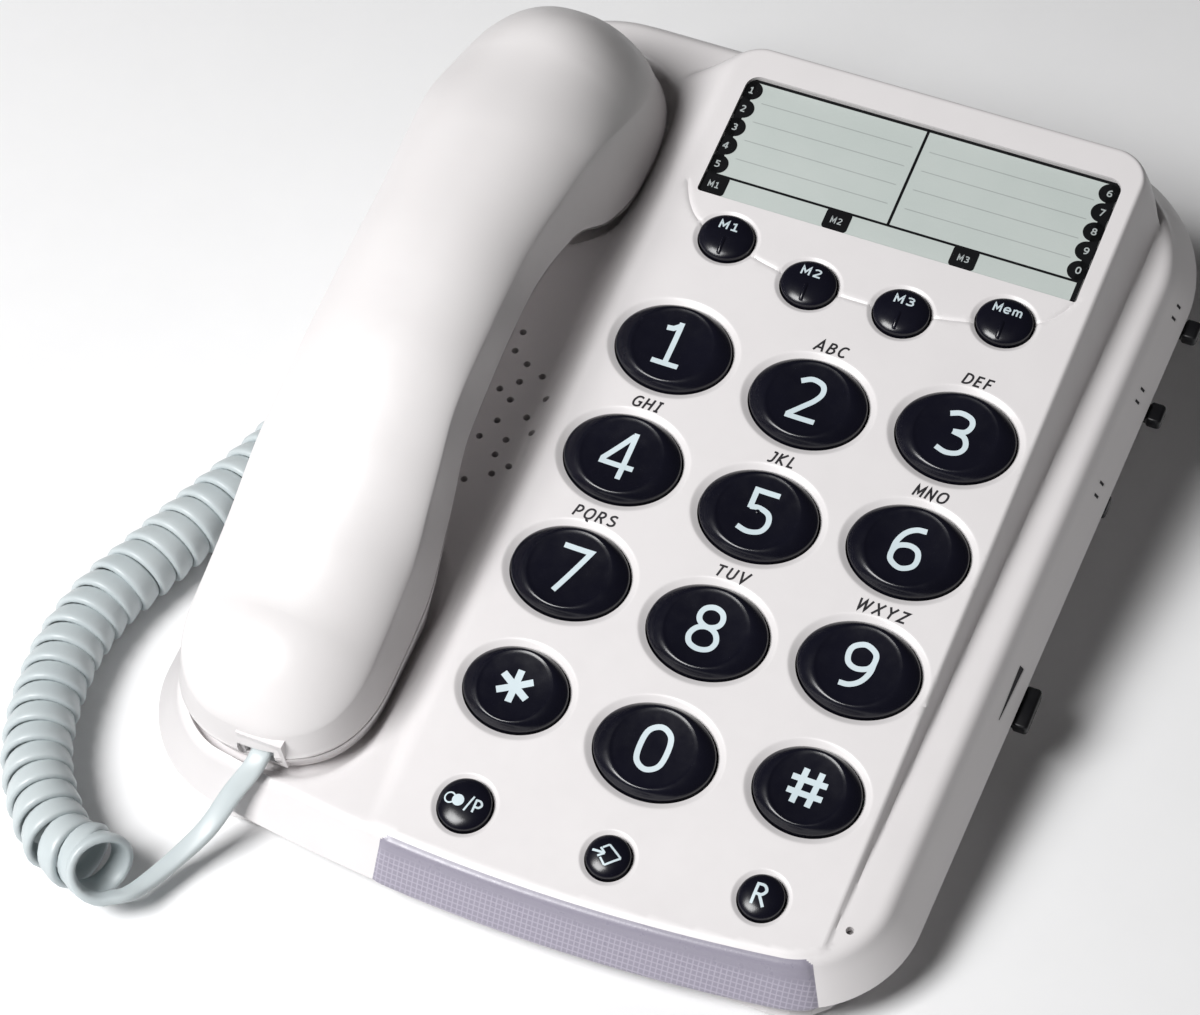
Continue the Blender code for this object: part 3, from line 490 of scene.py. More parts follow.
def panel_height(x, s):
    """Height of the keypad panel over the rim plane, sloping off at its left, right and back."""
    top = s * math.tan(WEDGE)
    right = PANEL_RIGHT + PANEL_RIGHT_SPREAD * s / 200
    on_right = x > (PANEL_LEFT + right) / 2
    side = np.where(on_right, x - right, PANEL_LEFT - x) + PANEL_CORNER
    back = s - PANEL_BACK + PANEL_CORNER
    steep = np.where(on_right, STEEP_RIGHT, STEEP_LEFT)
    reach = np.hypot(side, back)
    at_corner = (side > 0) & (back > 0)
    share = np.where(at_corner, (side / np.maximum(reach, 1e-6)) ** 2, (side > back) * 1.0)
    distance = np.where(at_corner, reach, np.maximum(side, back)) - PANEL_CORNER
    slope = steep * share + STEEP_BACK * (1 - share)
    soft = np.where(on_right, SOFT_RIGHT, SOFT_LEFT) * share + SOFT_BACK * (1 - share)
    return top - ramp(slope * distance, soft)


GROOVE_DEPTH, GROOVE_WIDTH = 0.32, 0.34


def groove_path():
    """The fine joint line that dips from the window's corners through the memory keys."""
    points = []
    for i in range(-60, 61):
        x = 45.2 * i / 60
        edge = max(0.0, abs(x) - 37.0) / 8.2
        points.append(key_to_rim(KEY_X + x, 145.2 + 0.0050 * x * x + 6.2 * edge ** 2.6)[:2])
    return points


def groove_cut(x, s):
    best = np.full(x.shape, 1e9)
    near = (s > 140) & (s < 163) & (x > -26) & (x < 70)
    best[near] = path_distance(x[near], s[near], groove_path())
    return GROOVE_DEPTH * np.exp(-(best / GROOVE_WIDTH) ** 2)


def top_height(x, s):
    """Height of the upper housing's outside over the rim plane."""
    x, s = np.asarray(x, float), np.asarray(s, float)
    height = soft_max(panel_height(x, s), 0.0, 0.7)
    for well, lip, wall in ((EAR_WELL, 1.2, 2.4), (MOUTH_WELL, 1.0, 2.8)):
        inside = smoothstep((lip - box_distance(x, s, *well[:5])) / (lip + wall))
        height = height + (np.minimum(-well[5], height) - height) * inside
    for name, key_x, along, half, legend in key_table():
        centre = key_to_rim(key_x, along)
        distance = oval_distance(x, s, key_x, centre[1], half)
        width, depth = BIG_DISH if is_big(half) else SMALL_DISH
        inside = 1 - (distance - HOLE_CLEARANCE) / width
        height = height - depth * np.clip(ramp(inside, 0.16), 0, 1.06)
    return height - groove_cut(x, s)


def rounded_outline(corners, radii, steps):
    outline = []
    count = len(corners)
    for i, (corner, radius) in enumerate(zip(corners, radii)):
        here = Vector(corner)
        back = (Vector(corners[i - 1]) - here).normalized()
        ahead = (Vector(corners[(i + 1) % count]) - here).normalized()
        half = back.angle(ahead) / 2
        centre = here + (back + ahead).normalized() * radius / math.sin(half)
        reach = radius / math.tan(half)
        first, last = here + back * reach - centre, here + ahead * reach - centre
        sweep = first.angle_signed(last)
        for step in range(steps + 1):
            spoke = first.copy()
            spoke.rotate(Matrix.Rotation(-sweep * step / steps, 2))
            outline.append(centre + spoke)
    return outline


def rim_outline(spacing=1.1):
    """The rim's upper edge as even points, with the light bar's two ends among them."""
    corners = [(-RIM_HALF_FRONT, RIM_FRONT), (RIM_HALF_FRONT, RIM_FRONT),
               (RIM_HALF_BACK, RIM_BACK), (-RIM_HALF_BACK, RIM_BACK)]
    radii = [RIM_FRONT_RADIUS, RIM_FRONT_RADIUS, RIM_BACK_RADIUS, RIM_BACK_RADIUS]
    rough = rounded_outline(corners, radii, 24)
    loop = [Vector((p.x, p.y, 0)) for p in rough] + [Vector((rough[0].x, rough[0].y, 0))]
    points, _ = even(loop, round(path_length(loop) / spacing))
    points = points[:-1]
    for p in points:
        across = 1 - (p.x / RIM_HALF_FRONT) ** 2
        p.y -= FRONT_BULGE * max(0.0, across) * max(0.0, 1 - p.y / 100)
    for end in (LIGHT_LEFT, LIGHT_RIGHT):
        nearest = min((p for p in points if p.y < 60), key=lambda p: abs(p.x - end))
        nearest.x = end
    return points


def pushed(outline, offset):
    count = len(outline)
    moved = []
    for i, p in enumerate(outline):
        along = (outline[(i + 1) % count] - outline[i - 1]).normalized()
        moved.append((p.x + along.y * offset, p.y - along.x * offset))
    return moved


def inside_polygon(x, y, polygon):
    hit = np.zeros(x.shape, bool)
    for (ax, ay), (bx, by) in zip(polygon, polygon[1:] + polygon[:1]):
        if ay != by:
            cross = (ay > y) != (by > y)
            hit ^= cross & (x < (bx - ax) * (y - ay) / (by - ay) + ax)
    return hit


def path_distance(x, y, path):
    best = np.full(x.shape, 1e9)
    for (ax, ay), (bx, by) in zip(path, path[1:]):
        run = (bx - ax, by - ay)
        t = np.clip(((x - ax) * run[0] + (y - ay) * run[1]) / (run[0] ** 2 + run[1] ** 2), 0, 1)
        best = np.minimum(best, np.hypot(x - ax - t * run[0], y - ay - t * run[1]))
    return best


PIN_HOLE, HOOK_HOLE = (72.5, 12.8), (-61.5, 145.7, -52.5, 150.6)
GRILLE_X, GRILLE_HOLE = -49.0, 0.78
GRILLE_HALF = ((4.0, 118.5), (4.3, 113.5), (8.2, 111.2), (12.6, 109.4), (8.5, 106.5), (5.2, 103.4),
               (8.5, 101.6), (15.9, 104.2), (8.0, 95.8), (13.7, 98.7), (16.5, 95.2), (6.0, 90.9),
               (11.8, 92.0), (11.1, 87.8), (15.1, 86.1), (12.4, 83.2), (7.4, 79.9))


def housing_holes():
    """Each hole: its outline in the rim plane, rings of points round it, depth of its wall."""
    holes = []
    for name, x, along, half, legend in key_table():
        centre = key_to_rim(x, along)[1]
        count, width = (72, BIG_DISH[0]) if is_big(half) else (40, SMALL_DISH[0])
        loops = []
        for grow in (0, 0.3, 0.62, 0.86, 1.0, 1.12, 1.3, 1.7):
            size = HOLE_CLEARANCE + grow * width
            loops.append(oval(x, centre, half[0] + size, half[1] + size, count))
        holes.append((loops[0], loops[1:], 4.5))
    for across, along in GRILLE_HALF:
        for x in (GRILLE_X - across, GRILLE_X + across):
            holes.append((oval(x, along, GRILLE_HOLE, GRILLE_HOLE, 14),
                          [oval(x, along, GRILLE_HOLE + 0.35, GRILLE_HOLE + 0.35, 14)], 2.4))
    holes.append((oval(*PIN_HOLE, 0.85, 0.85, 16), [oval(*PIN_HOLE, 1.2, 1.2, 16)], 2.0))
    left, right, low, high = WINDOW
    loops = []
    for grow in (0.0, 0.35, 0.8):
        outline = rounded_outline(rectangle(left - grow, low - grow, right + grow, high + grow),
                                  [0.8 + grow, 0.8 + grow, 3.0 + grow, 3.0 + grow], 6)
        dense = []
        for a, b in zip(outline, outline[1:] + outline[:1]):
            count = max(1, round((b - a).length / 1.2))
            dense += [a.lerp(b, k / count) for k in range(count)]
        loops.append([key_to_rim(p.x, p.y)[:2] for p in dense])
    holes.append((loops[0], loops[1:], 2.3))
    holes.append((rectangle(*HOOK_HOLE), [], 3.0))
    return holes


# Spans and spacing of the top's points, across and then up the rim plane.
TOP_STEPS = (((-81, 64, 0.95), (64, 78.5, 0.45), (78.5, 82, 0.9)),
             ((-3.6, 193, 0.95), (193, 206, 0.5)))


def upper_housing(materials):
    outline = rim_outline()
    edge = pushed(outline, RIM_EDGE)
    holes = housing_holes()

    spots, constraints, loops = list(edge), [], []
    constraints += [(i, (i + 1) % len(edge)) for i in range(len(edge))]
    for loop, extra, depth in holes:
        base = len(spots)
        spots += loop
        loops.append(range(base, base + len(loop)))
        constraints += [(base + i, base + (i + 1) % len(loop)) for i in range(len(loop))]
        for ring in extra:
            spots += ring
    for offset in (0.0, 0.3, -0.3, 0.75, -0.75):
        path = groove_path()
        for (ax, ay), (bx, by) in zip(path, path[1:]):
            run = math.hypot(bx - ax, by - ay)
            spots.append((ax - (by - ay) / run * offset, ay + (bx - ax) / run * offset))

    grid = [np.concatenate([np.arange(*span) for span in spans]) for spans in TOP_STEPS]
    gx, gs = [a.ravel() for a in np.meshgrid(*grid)]
    keep = inside_polygon(gx, gs, edge)
    gx, gs = gx[keep], gs[keep]
    keep = path_distance(gx, gs, edge[::2] + edge[:1]) > 0.5
    for loop, extra, depth in holes:
        outer = extra[-1] if extra else loop
        lo, hi = np.min(outer, 0) - 1, np.max(outer, 0) + 1
        near = (gx > lo[0]) & (gx < hi[0]) & (gs > lo[1]) & (gs < hi[1])
        spot_x, spot_s = gx[near], gs[near]
        keep[near] &= ~inside_polygon(spot_x, spot_s, outer)
        keep[near] &= path_distance(spot_x, spot_s, outer + outer[:1]) > 0.3
    keep &= groove_cut(gx, gs) < 0.0005
    spots += list(zip(gx[keep].tolist(), gs[keep].tolist()))

    flat, _, faces, origins, _, _ = delaunay_2d_cdt([Vector(p) for p in spots], constraints, [], 0,
                                                    1e-5)
    new_index = {}
    for k, sources in enumerate(origins):
        for source in sources:
            new_index[source] = k
    x, s = np.array([p[:] for p in flat]).T
    height = top_height(x, s)
    corners = np.array(faces)
    mid_x, mid_s = x[corners].mean(1), s[corners].mean(1)
    good = inside_polygon(mid_x, mid_s, edge)
    for loop, extra, depth in holes:
        good &= ~inside_polygon(mid_x, mid_s, loop)

    shape = Shape()
    shape.add(list(zip(x, s, height)), corners[good].tolist())
    for (loop, extra, depth), indices in zip(holes, loops):
        ring = [new_index[i] for i in indices]
        count = len(ring)
        base = len(shape.verts)
        shape.verts += [(x[k], s[k], height[k] - depth) for k in ring]
        for i in range(count):
            j = (i + 1) % count
            shape.face(ring[i], ring[j], base + j, base + i)

    # Rounded edge, skirt and inner wall, leaving room for the light bar.
    count = len(edge)
    rings = [[new_index[i] for i in range(count)]]
    for offset, drop in EDGE_PROFILE:
        base = len(shape.verts)
        shape.verts += [(a, b, drop) for a, b in pushed(outline, offset)]
        rings.append(list(range(base, base + count)))
    lens_start, lens_end = LENS_ROWS
    in_bar = [LIGHT_LEFT - 0.01 <= p.x <= LIGHT_RIGHT + 0.01 and p.y < 20 for p in outline]
    for k in range(len(rings) - 1):
        for i in range(count):
            j = (i + 1) % count
            if not (lens_start <= k < lens_end and in_bar[i] and in_bar[j]):
                shape.face(rings[k][i], rings[k + 1][i], rings[k + 1][j], rings[k][j])
    shape.place("upper_housing", RIM, [materials["white"]], "base", sharp=48,
                replaces=("base_upper_housing",), slot="warm_white_plastic")
    light_bar(outline, in_bar, materials)


def light_bar(outline, in_bar, materials):
    """The bar that fills the gap in the front edge: its skin stands a little proud, with a rounded
    border; the corners outside the border belong to the housing."""
    profile = [Vector((a, b, 0)) for a, b in EDGE_PROFILE[LENS_ROWS[0] - 1:LENS_ROWS[1]]]
    profile, bar_height = even(catmull(profile, 4), 34)
    span = [i for i in range(len(outline)) if in_bar[i]]
    rows = []
    for p in profile:
        sheet = pushed(outline, p.x)
        row, length = even([Vector((*sheet[i], p.y)) for i in span], 3 * len(span))
        rows.append(row)
    lens, outside, across = Shape(), [], len(rows[0])
    for k, row in enumerate(rows):
        a, b = profile[max(k - 1, 0)], profile[min(k + 1, len(profile) - 1)]
        out = Vector(((a - b).y, (b - a).x, 0)).normalized()
        from_top = bar_height * k / (len(rows) - 1)
        for i, p in enumerate(row):
            from_end = length * min(i, across - 1 - i) / (across - 1)
            dx, dy = max(0.0, BAR_CORNER - from_end), max(0.0, BAR_CORNER - from_top)
            inside = BAR_CORNER - math.hypot(dx, dy) if dx and dy else min(from_end, from_top)
            lift = 0.5 * (1 - math.exp(-max(0.0, inside) / 0.8)) - 0.1 if inside > 0 else 0.02
            ahead = (row[min(i + 1, across - 1)] - row[max(i - 1, 0)]).normalized()
            lens.verts.append(p + Vector((ahead.y, -ahead.x, 0)) * (out.x * lift)
                              + Vector((0, 0, out.y * lift)))
            outside.append(0 if inside > 0.12 else 1)
    for k in range(len(rows) - 1):
        for i in range(across - 1):
            corner = k * across + i
            lens.faces.append((corner, corner + across, corner + across + 1, corner + 1))
            lens.slots.append(outside[corner + across + (i < across / 2)])
    lens.place("light_bar", RIM, [materials["lilac"], materials["white"]], "base", sharp=60,
               replaces=("light_bar_lens",), slot="light_bar_plastic")


# ---------------------------------------------------------------- lettering

# Strokes of each character in hundredths of its height, as x y pairs. A leading "o" closes a ring
# through its points, "~" runs a smooth curve through them, "|" joins them with straight lines.
GLYPHS = {
    "0": "o 34 92.5 13 80 8 50 13 20 34 7.5 55 20 60 50 55 80",
    "1": "| 12 81.5 25 83 37 92.5; | 37 99 37 7; | 10 7 64 7",
    "2": "~ 8 83 28 92.5 50 87 56 71 48 53 30 33 8 9; | 5 7.5 63 7.5",
    "3": "~ 8 86 28 92.5 49 87 55 73 47 58 25 53; ~ 25 53 49 47 58 29 50 13 28 7 6 13",
    "4": "| 68 28 5 28 5 34 45 94; | 47.5 100 47.5 0",
    "5": "| 59 92.5 14 92.5 14 54; ~ 14 57 32 59 52 51 58 32 50 14 28 7 5 12",
    "6": "~ 56 91 37 89 20 77 10 56 9 33; o 9 34 13 17 34 7 54 16 59 32 53 49 36 55.5 16 49",
    "7": "| 4 92.5 58 92.5 20 0",
    "8": "o 34 53 17 60 12 73 18 87 34 93 50 87 56 73 51 60; o 34 53 16 46 8 29 15 13 34 7 53 "
         "13 60 29 52 46",
    "9": "~ 12 9 31 11 48 23 58 44 59 67; o 59 66 55 83 34 93 14 84 9 68 15 51 32 44.5 52 51",
    "*": "| 50 100 50 0; | 5 77 95 23; | 5 23 95 77",
    "#": "| 30 100 24 0; | 72 100 66 0; | 0 69 96 69; | 0 31 96 31",
    "A": "| 0 0 35 100 70 0; | 13 33 57 33",
    "B": "| 12 0 12 100; ~ 12 94 40 94 56 76 42 56 12 54; ~ 12 54 44 53 62 30 44 7 12 6",
    "C": "~ 66 85 45 94 20 85 8 50 20 15 45 6 66 15",
    "D": "| 12 0 12 100; ~ 12 94 36 93 60 80 68 50 60 20 36 7 12 6",
    "E": "| 56 93 12 93 12 7 56 7; | 12 52 52 52",
    "F": "| 56 93 12 93 12 0; | 12 50 50 50",
    "G": "~ 68 85 45 94 20 85 8 50 20 15 45 6 68 14; | 68 10 68 47 44 47",
    "H": "| 12 0 12 100; | 64 0 64 100; | 12 52 64 52",
    "I": "| 24 0 24 100; | 6 93 42 93; | 6 7 42 7",
    "J": "| 8 93 36 93; ~ 36 97 36 50 33 18 20 6 0 7",
    "K": "| 12 0 12 100; | 60 100 14 50 66 0",
    "L": "| 12 100 12 7 54 7",
    "M": "| 12 0 12 95 42 30 72 95 72 0",
    "N": "| 12 0 12 95 62 5 62 100",
    "O": "o 42 94 17 83 8 50 17 17 42 6 67 17 76 50 67 83",
    "P": "| 12 0 12 100; ~ 12 94 42 93 58 70 42 45 12 44",
    "Q": "o 42 94 17 83 8 50 17 17 42 6 67 17 76 50 67 83; ~ 44 6 50 -10 66 -16",
    "R": "| 12 0 12 100; ~ 12 94 42 93 57 72 42 50 12 49; | 32 49 66 0",
    "S": "~ 56 86 34 94 12 84 12 66 34 53 58 40 58 16 34 6 7 14",
    "T": "| 0 93 66 93; | 33 93 33 0",
    "U": "~ 10 100 10 62 12 22 36 6 60 22 62 62 62 100",
    "V": "| 0 100 34 3 68 100",
    "W": "| 0 100 24 4 48 93 72 4 96 100",
    "X": "| 2 0 64 100; | 64 0 2 100",
    "Y": "| 0 100 32 48 64 100; | 32 50 32 0",
    "Z": "| 4 93 58 93 6 7 62 7",
    "e": "~ 10 38 58 38 50 64 33 70 15 60 9 36 16 13 36 5 57 12",
    "m": "| 10 0 10 72; ~ 10 52 24 68 38 66 44 48 44 24 44 0; ~ 44 52 58 68 72 66 78 48 78 24 78 0",
}


def strokes_of(letter):
    """Each stroke of a character: its centreline as points, and whether it closes on itself."""
    for stroke in GLYPHS[letter].split("; "):
        kind, *numbers = stroke.split()
        values = [float(n) / 100 for n in numbers]
        points = [Vector((x, y, 0)) for x, y in zip(values[::2], values[1::2])]
        if kind == "o":
            looped = catmull(points[-2:] + points + points[:2], 6)
            line = looped[12:12 + 6 * len(points)]
        elif kind == "~":
            line = catmull(points, 6)
        else:
            line = [a.lerp(b, k / 6) for a, b in zip(points, points[1:]) for k in range(6)]
            line.append(points[-1])
        yield line, kind == "o", values[::2]


def ribbon(points, wide, closed):
    """Flat band of even width along a line, mitred at its corners."""
    count = len(points)
    rim, faces = [], []
    for i, p in enumerate(points):
        before = points[i - 1] if closed or i else p
        after = points[(i + 1) % count] if closed or i < count - 1 else p
        a, b = (p - before).normalized(), (after - p).normalized()
        a, b = (a, b) if a.length and b.length else (a + b, a + b)
        side = Vector((-(a + b).y, (a + b).x, 0)).normalized()
        reach = min(2.6, 1 / max(0.2, side.dot(Vector((-a.y, a.x, 0))))) * wide / 2
        rim += [p + side * reach, p - side * reach]
    for i in range(count if closed else count - 1):
        j = (i + 1) % count
        faces.append((2 * i, 2 * i + 1, 2 * j + 1, 2 * j))
    return [(q.x, q.y) for q in rim], faces


def lettering(text, height, weight, slant=0.0, gap=0.17, squeeze=1.0):
    """Flat strokes spelling `text`, `height` tall and centred, each with its own layer number."""
    parts, x = [], 0.0
    for letter in text:
        strokes = list(strokes_of(letter))
        places = [v for line, closed, across in strokes for v in across]
        low, high = min(places), max(places)
        for line, closed, across in strokes:
            line = [Vector(((p.x - low + x) * height * squeeze + slant * p.y * height,
                            p.y * height, 0)) for p in line]
            parts.append((*ribbon(line, weight, closed), len(parts) % 4))
        x += high - low + gap + weight / height
    middle = ((x - gap - weight / height) * squeeze + slant) * height / 2
    return [(np.array(points) - (middle, height / 2), *rest) for points, *rest in parts]


def bar(x0, y0, x1, y1, wide, layer=0):
    """A straight stroke."""
    line = [Vector((x0, y0, 0)).lerp(Vector((x1, y1, 0)), k / 8) for k in range(9)]
    points, faces = ribbon(line, wide, False)
    return np.array(points), faces, layer


def hoop(x, y, radius, wide, count=28):
    inner, outer = (oval(x, y, r, r, count) for r in (radius - wide / 2, radius + wide / 2))
    faces = [(2 * i, 2 * i + 1, (2 * i + 3) % (2 * count), (2 * i + 2) % (2 * count))
             for i in range(count)]
    return np.array([p for pair in zip(inner, outer) for p in pair]), faces, 1


def disc(x, y, radius, layer=0, count=28):
    points = oval(x, y, radius, radius, count) + oval(x, y, radius * 0.5, radius * 0.5, count)
    faces = [(i, (i + 1) % count, count + (i + 1) % count, count + i) for i in range(count)]
    return np.array(points), faces + [tuple(range(count, 2 * count))], layer


def shifted(part, dx, dy):
    points, faces, layer = part
    return points + np.array((dx, dy)), faces, layer


# ---------------------------------------------------------------- keys

KEY_RIM, KEY_TOP, KEY_DISH = 0.45, 1.8, 0.5
INNER_SHARE = (0.70, 0.86)    # the dished face, as shares of the oval's half sizes
FACE_DROP = 0.10              # how far the face lies below its crisp edge
DIGIT_SIZE, LEGEND_SIZES = (11.3, 1.2), {"*": (7.4, 1.5), "#": (7.8, 1.3)}    # height, stroke width


def big_surface(share):
    """Height of a big key's dish at a share of the way from its centre to its inner edge."""
    return KEY_TOP - KEY_DISH * (1 - share ** 2)


def small_surface(share):
    return 0.2 + 1.75 * np.sqrt(np.maximum(0.0, 1 - 0.93 * share ** 2.4))


def stamp(shape, part, x, along, height, slot=1):
    """Lay flat artwork on a key's top."""
    points, faces, layer = part
    tops = height(points[:, 0], points[:, 1]) + 0.05 + 0.012 * layer
    shape.add([(x + p[0], along + p[1], h) for p, h in zip(points, tops)], faces, slot)


def key_cap(shape, name, materials, sharp):
    shape.place(f"{name}_cap", KEYS, [materials["black"], materials["legend"]], name,
                replaces=(name,), sharp=sharp, slot="gloss_black_plastic")


def digit_key(name, x, along, half, legend, materials):
    """Oval cap: wall, sloping band, a crisp inner edge and a shallow dished face."""
    shape = Shape()
    inner = (half[0] * INNER_SHARE[0], half[1] * INNER_SHARE[1])
    start = (half[0] - 0.22, half[1] - 0.22)
    profile = [(half[0], half[1], -3.2), (half[0], half[1], KEY_RIM - 0.45),
               (half[0] - 0.06, half[1] - 0.06, KEY_RIM - 0.2), (*start, KEY_RIM)]
    for k in range(1, 13):
        t = k / 12
        size = [a + (b - a) * t for a, b in zip(start, inner)]
        rise = KEY_RIM + (KEY_TOP - 0.03 - KEY_RIM) * math.sin(t * math.pi / 2) ** 0.9
        profile.append((*size, rise))
    for r in (0.985, 0.96, 0.9, 0.8, 0.65, 0.5, 0.35, 0.2, 0.08):
        drop = FACE_DROP * smoothstep((1 - r) / 0.04)
        profile.append((inner[0] * r, inner[1] * r, big_surface(r) - drop))
    shape.loft([at_height(oval(x, along, a, b, 80), z) for a, b, z in profile], cap_last=True)

    def height(px, py):
        return big_surface(np.hypot(px / inner[0], py / inner[1])) - FACE_DROP

    for part in lettering(legend, *LEGEND_SIZES.get(legend, DIGIT_SIZE)):
        stamp(shape, part, x, along, height)
    if legend == "5":
        edge = oval(-0.2, 0.1, 0.55, 0.55, 16)
        shape.loft([[(x + a * k, along + b * k, height(a, b) + 0.06 + 0.32 * math.sqrt(1 - k * k))
                     for a, b in edge] for k in (1.0, 0.85, 0.6, 0.3)], cap_last=True)
    key_cap(shape, name, materials, 38)


def round_key(name, x, along, half, legend, materials):
    """Domed button; the memory keys carry a short raised line for the fingertip."""
    shape = Shape()

    def height(px, py):
        return small_surface(np.minimum(1, np.hypot(px / half[0], py / half[1])))

    profile = [(1, -2.5), (1, 0.15)]
    profile += [(r, height(half[0] * r, 0))
                for r in (0.995, 0.98, 0.95, 0.91, 0.85, 0.77, 0.67, 0.55, 0.4, 0.25, 0.1)]
    shape.loft([at_height(oval(x, along, half[0] * r, half[1] * r, 56), z) for r, z in profile],
               cap_last=True)
    if legend.startswith("M"):
        weight, squeeze = (0.38, 1.15) if legend == "Mem" else (0.4, 1.3)
        for part in lettering(legend, 2.15, weight, gap=0.16, squeeze=squeeze):
            stamp(shape, shifted(part, 0, 2.2), x, along, height)
        rows = []
        for k in range(13):
            y = -0.6 - 4.3 * k / 12
            swell = math.sin(math.pi * k / 12) ** 0.6
            rows.append([(x + a * 0.52, along + y, height(a * 0.52, y) + lift * swell - 0.02)
                         for a, lift in ((-1, 0), (-0.55, 0.3), (0, 0.42), (0.55, 0.3), (1, 0))])
        shape.loft(rows, close=False)
    else:
        for part in small_marks(legend):
            stamp(shape, part, x, along, height)
    key_cap(shape, name, materials, 50)


def small_marks(legend):
    """Plain marks: two rings and P for pause, an arrow on a square for redial, and R."""
    if legend == "R":
        return lettering("R", 4.6, 0.62)
    if legend == "pause":
        letter = [shifted(part, 3.1, 0) for part in lettering("P", 2.9, 0.45)]
        return [hoop(-3.0, 0.0, 1.1, 0.34), hoop(-1.2, 0.0, 1.1, 0.34), disc(-1.2, 0, 0.95, 2),
                bar(0.7, -1.7, 1.7, 1.8, 0.4)] + letter
    square = [(-1.4, 1.05), (-0.33, 2.05), (2.82, 0.12), (0.24, -2.29), (-1.15, -1.05)]
    strokes = [bar(*a, *b, 0.42, k % 2) for k, (a, b) in enumerate(zip(square, square[1:]))]
    return strokes + [bar(-3.3, 0, -0.6, 0, 0.5, 2), bar(-1.8, 0.95, -0.55, 0, 0.45, 3),
                      bar(-1.8, -0.95, -0.55, 0, 0.45, 3)]


def make_keys(materials):
    for name, x, along, half, legend in key_table():
        cap = digit_key if is_big(half) else round_key
        cap(name, x, along, half, legend, materials)


# ---------------------------------------------------------------- printing

LETTERS = ("", "ABC", "DEF", "GHI", "JKL", "MNO", "PQRS", "TUV", "WXYZ")
LETTER_RISE, LETTER_HEIGHT = 13.7, 2.7
CARD_FACE = -0.95


def panel_letters(materials):
    shape = Shape()
    for (name, x, along, half, legend), letters in zip(key_table(), LETTERS):
        if not letters:
            continue
        for points, faces, layer in lettering(letters, LETTER_HEIGHT, 0.48, slant=0.24, gap=0.2):
            shape.add([(x + a, along + LETTER_RISE + b, 0.03 + 0.008 * layer) for a, b in points],
                      faces)
    shape.place("panel_letters", KEYS, [materials["letter"]], "base", sharp=0)


def index_card(materials):
    """The card under the window: ruled lines, black tabs at both ends and three more below."""
    left, right, low, high = WINDOW[0] + 0.4, WINDOW[1] - 0.4, WINDOW[2] + 0.4, WINDOW[3] - 0.4
    paper, ink, rule, pale = range(4)
    shape = Shape()

    def patch(x0, y0, x1, y1, layer, slot):
        shape.patch(x0, y0, x1, y1, CARD_FACE + 0.03 * layer, slot)

    def blob(part, x, y, layer, slot):
        points, faces, above = part
        z = CARD_FACE + 0.03 * layer + 0.008 * above
        shape.add([(x + a, y + b, z) for a, b in points], faces, slot)

    card = rectangle(left, low, right, high)
    shape.loft([at_height(card, CARD_FACE - 0.3), at_height(card, CARD_FACE)], paper, cap_last=True)
    foot, middle, tab = low + 5.1, KEY_X, 3.3
    # The black band along the card's top edge is painted shadow: it stands for the shade the recess
    # wall casts onto the card.
    patch(left, high - 0.75, right, high, 1, ink)
    patch(left, foot - 0.3, right, foot + 0.3, 1, ink)
    patch(middle - 0.32, foot, middle + 0.32, high, 1, ink)
    patch(left, foot, left + tab - 1.5, high, 2, ink)
    patch(right - tab + 1.3, foot, right, high, 2, ink)
    patch(right - 1.1, low, right, foot, 2, ink)
    step = (high - foot - 0.6) / 5
    for k in range(5):
        y = high - 0.5 - step * (k + 0.5)
        for x, legend in ((left + tab - 2.1, "12345"[k]), (right - tab + 1.5, "67890"[k])):
            blob(disc(0, 0, 2.45), x, y, 2 + k % 2, ink)
            for part in lettering(legend, 1.75, 0.3):
                blob(part, x, y, 5, pale)
        if k:
            y += step / 2
            patch(left + tab + 1.2, y - 0.11, middle - 2.0, y + 0.11, 1, rule)
            patch(middle + 2.0, y - 0.11, right - tab - 1.2, y + 0.11, 1, rule)
    outline = rounded_outline(rectangle(-2.9, -2.45, 2.9, 2.75), [0.9] * 4, 4)
    corners = np.array([p[:] for p in outline]), [tuple(range(len(outline)))], 0
    for x, legend in ((left + 2.5, "M1"), (middle - 10.8, "M2"), (middle + 18.4, "M3")):
        blob(corners, x, foot - 2.6, 2, ink)
        for part in lettering(legend, 1.6, 0.26):
            blob(part, x, foot - 2.6, 5, pale)
    inks = [materials[n] for n in ("paper", "ink", "rule", "pale")]
    shape.place("printed_index_card", KEYS, inks, "base", replaces=("index_card",), sharp=30,
                slot="index_paper")


def index_window(materials):
    """Clear sheet over the card, its rim softened, and the floor of the recess below."""
    left, right, low, high = WINDOW
    shape, rings = Shape(), []
    for inset, height in ((0.35, -0.6), (0.35, -0.05), (0.47, 0.06), (0.75, 0.1)):
        corners = rectangle(left + inset, low + inset, right - inset, high - inset)
        rings.append(at_height(rounded_outline(corners, [0.6, 0.6, 2.7, 2.7], 5), height))
    shape.loft(rings, cap_last=True)
    shape.place("clear_window", KEYS, [materials["clear"]], "base", replaces=("index_window",),
                sharp=25, slot="clear_plastic")
    tray = Shape()
    tray.patch(left - 1, low - 1, right + 1, high + 1, -2.2)
    tray.place("window_recess", KEYS, [materials["white"]], "base", sharp=0)


# ---------------------------------------------------------------- handset

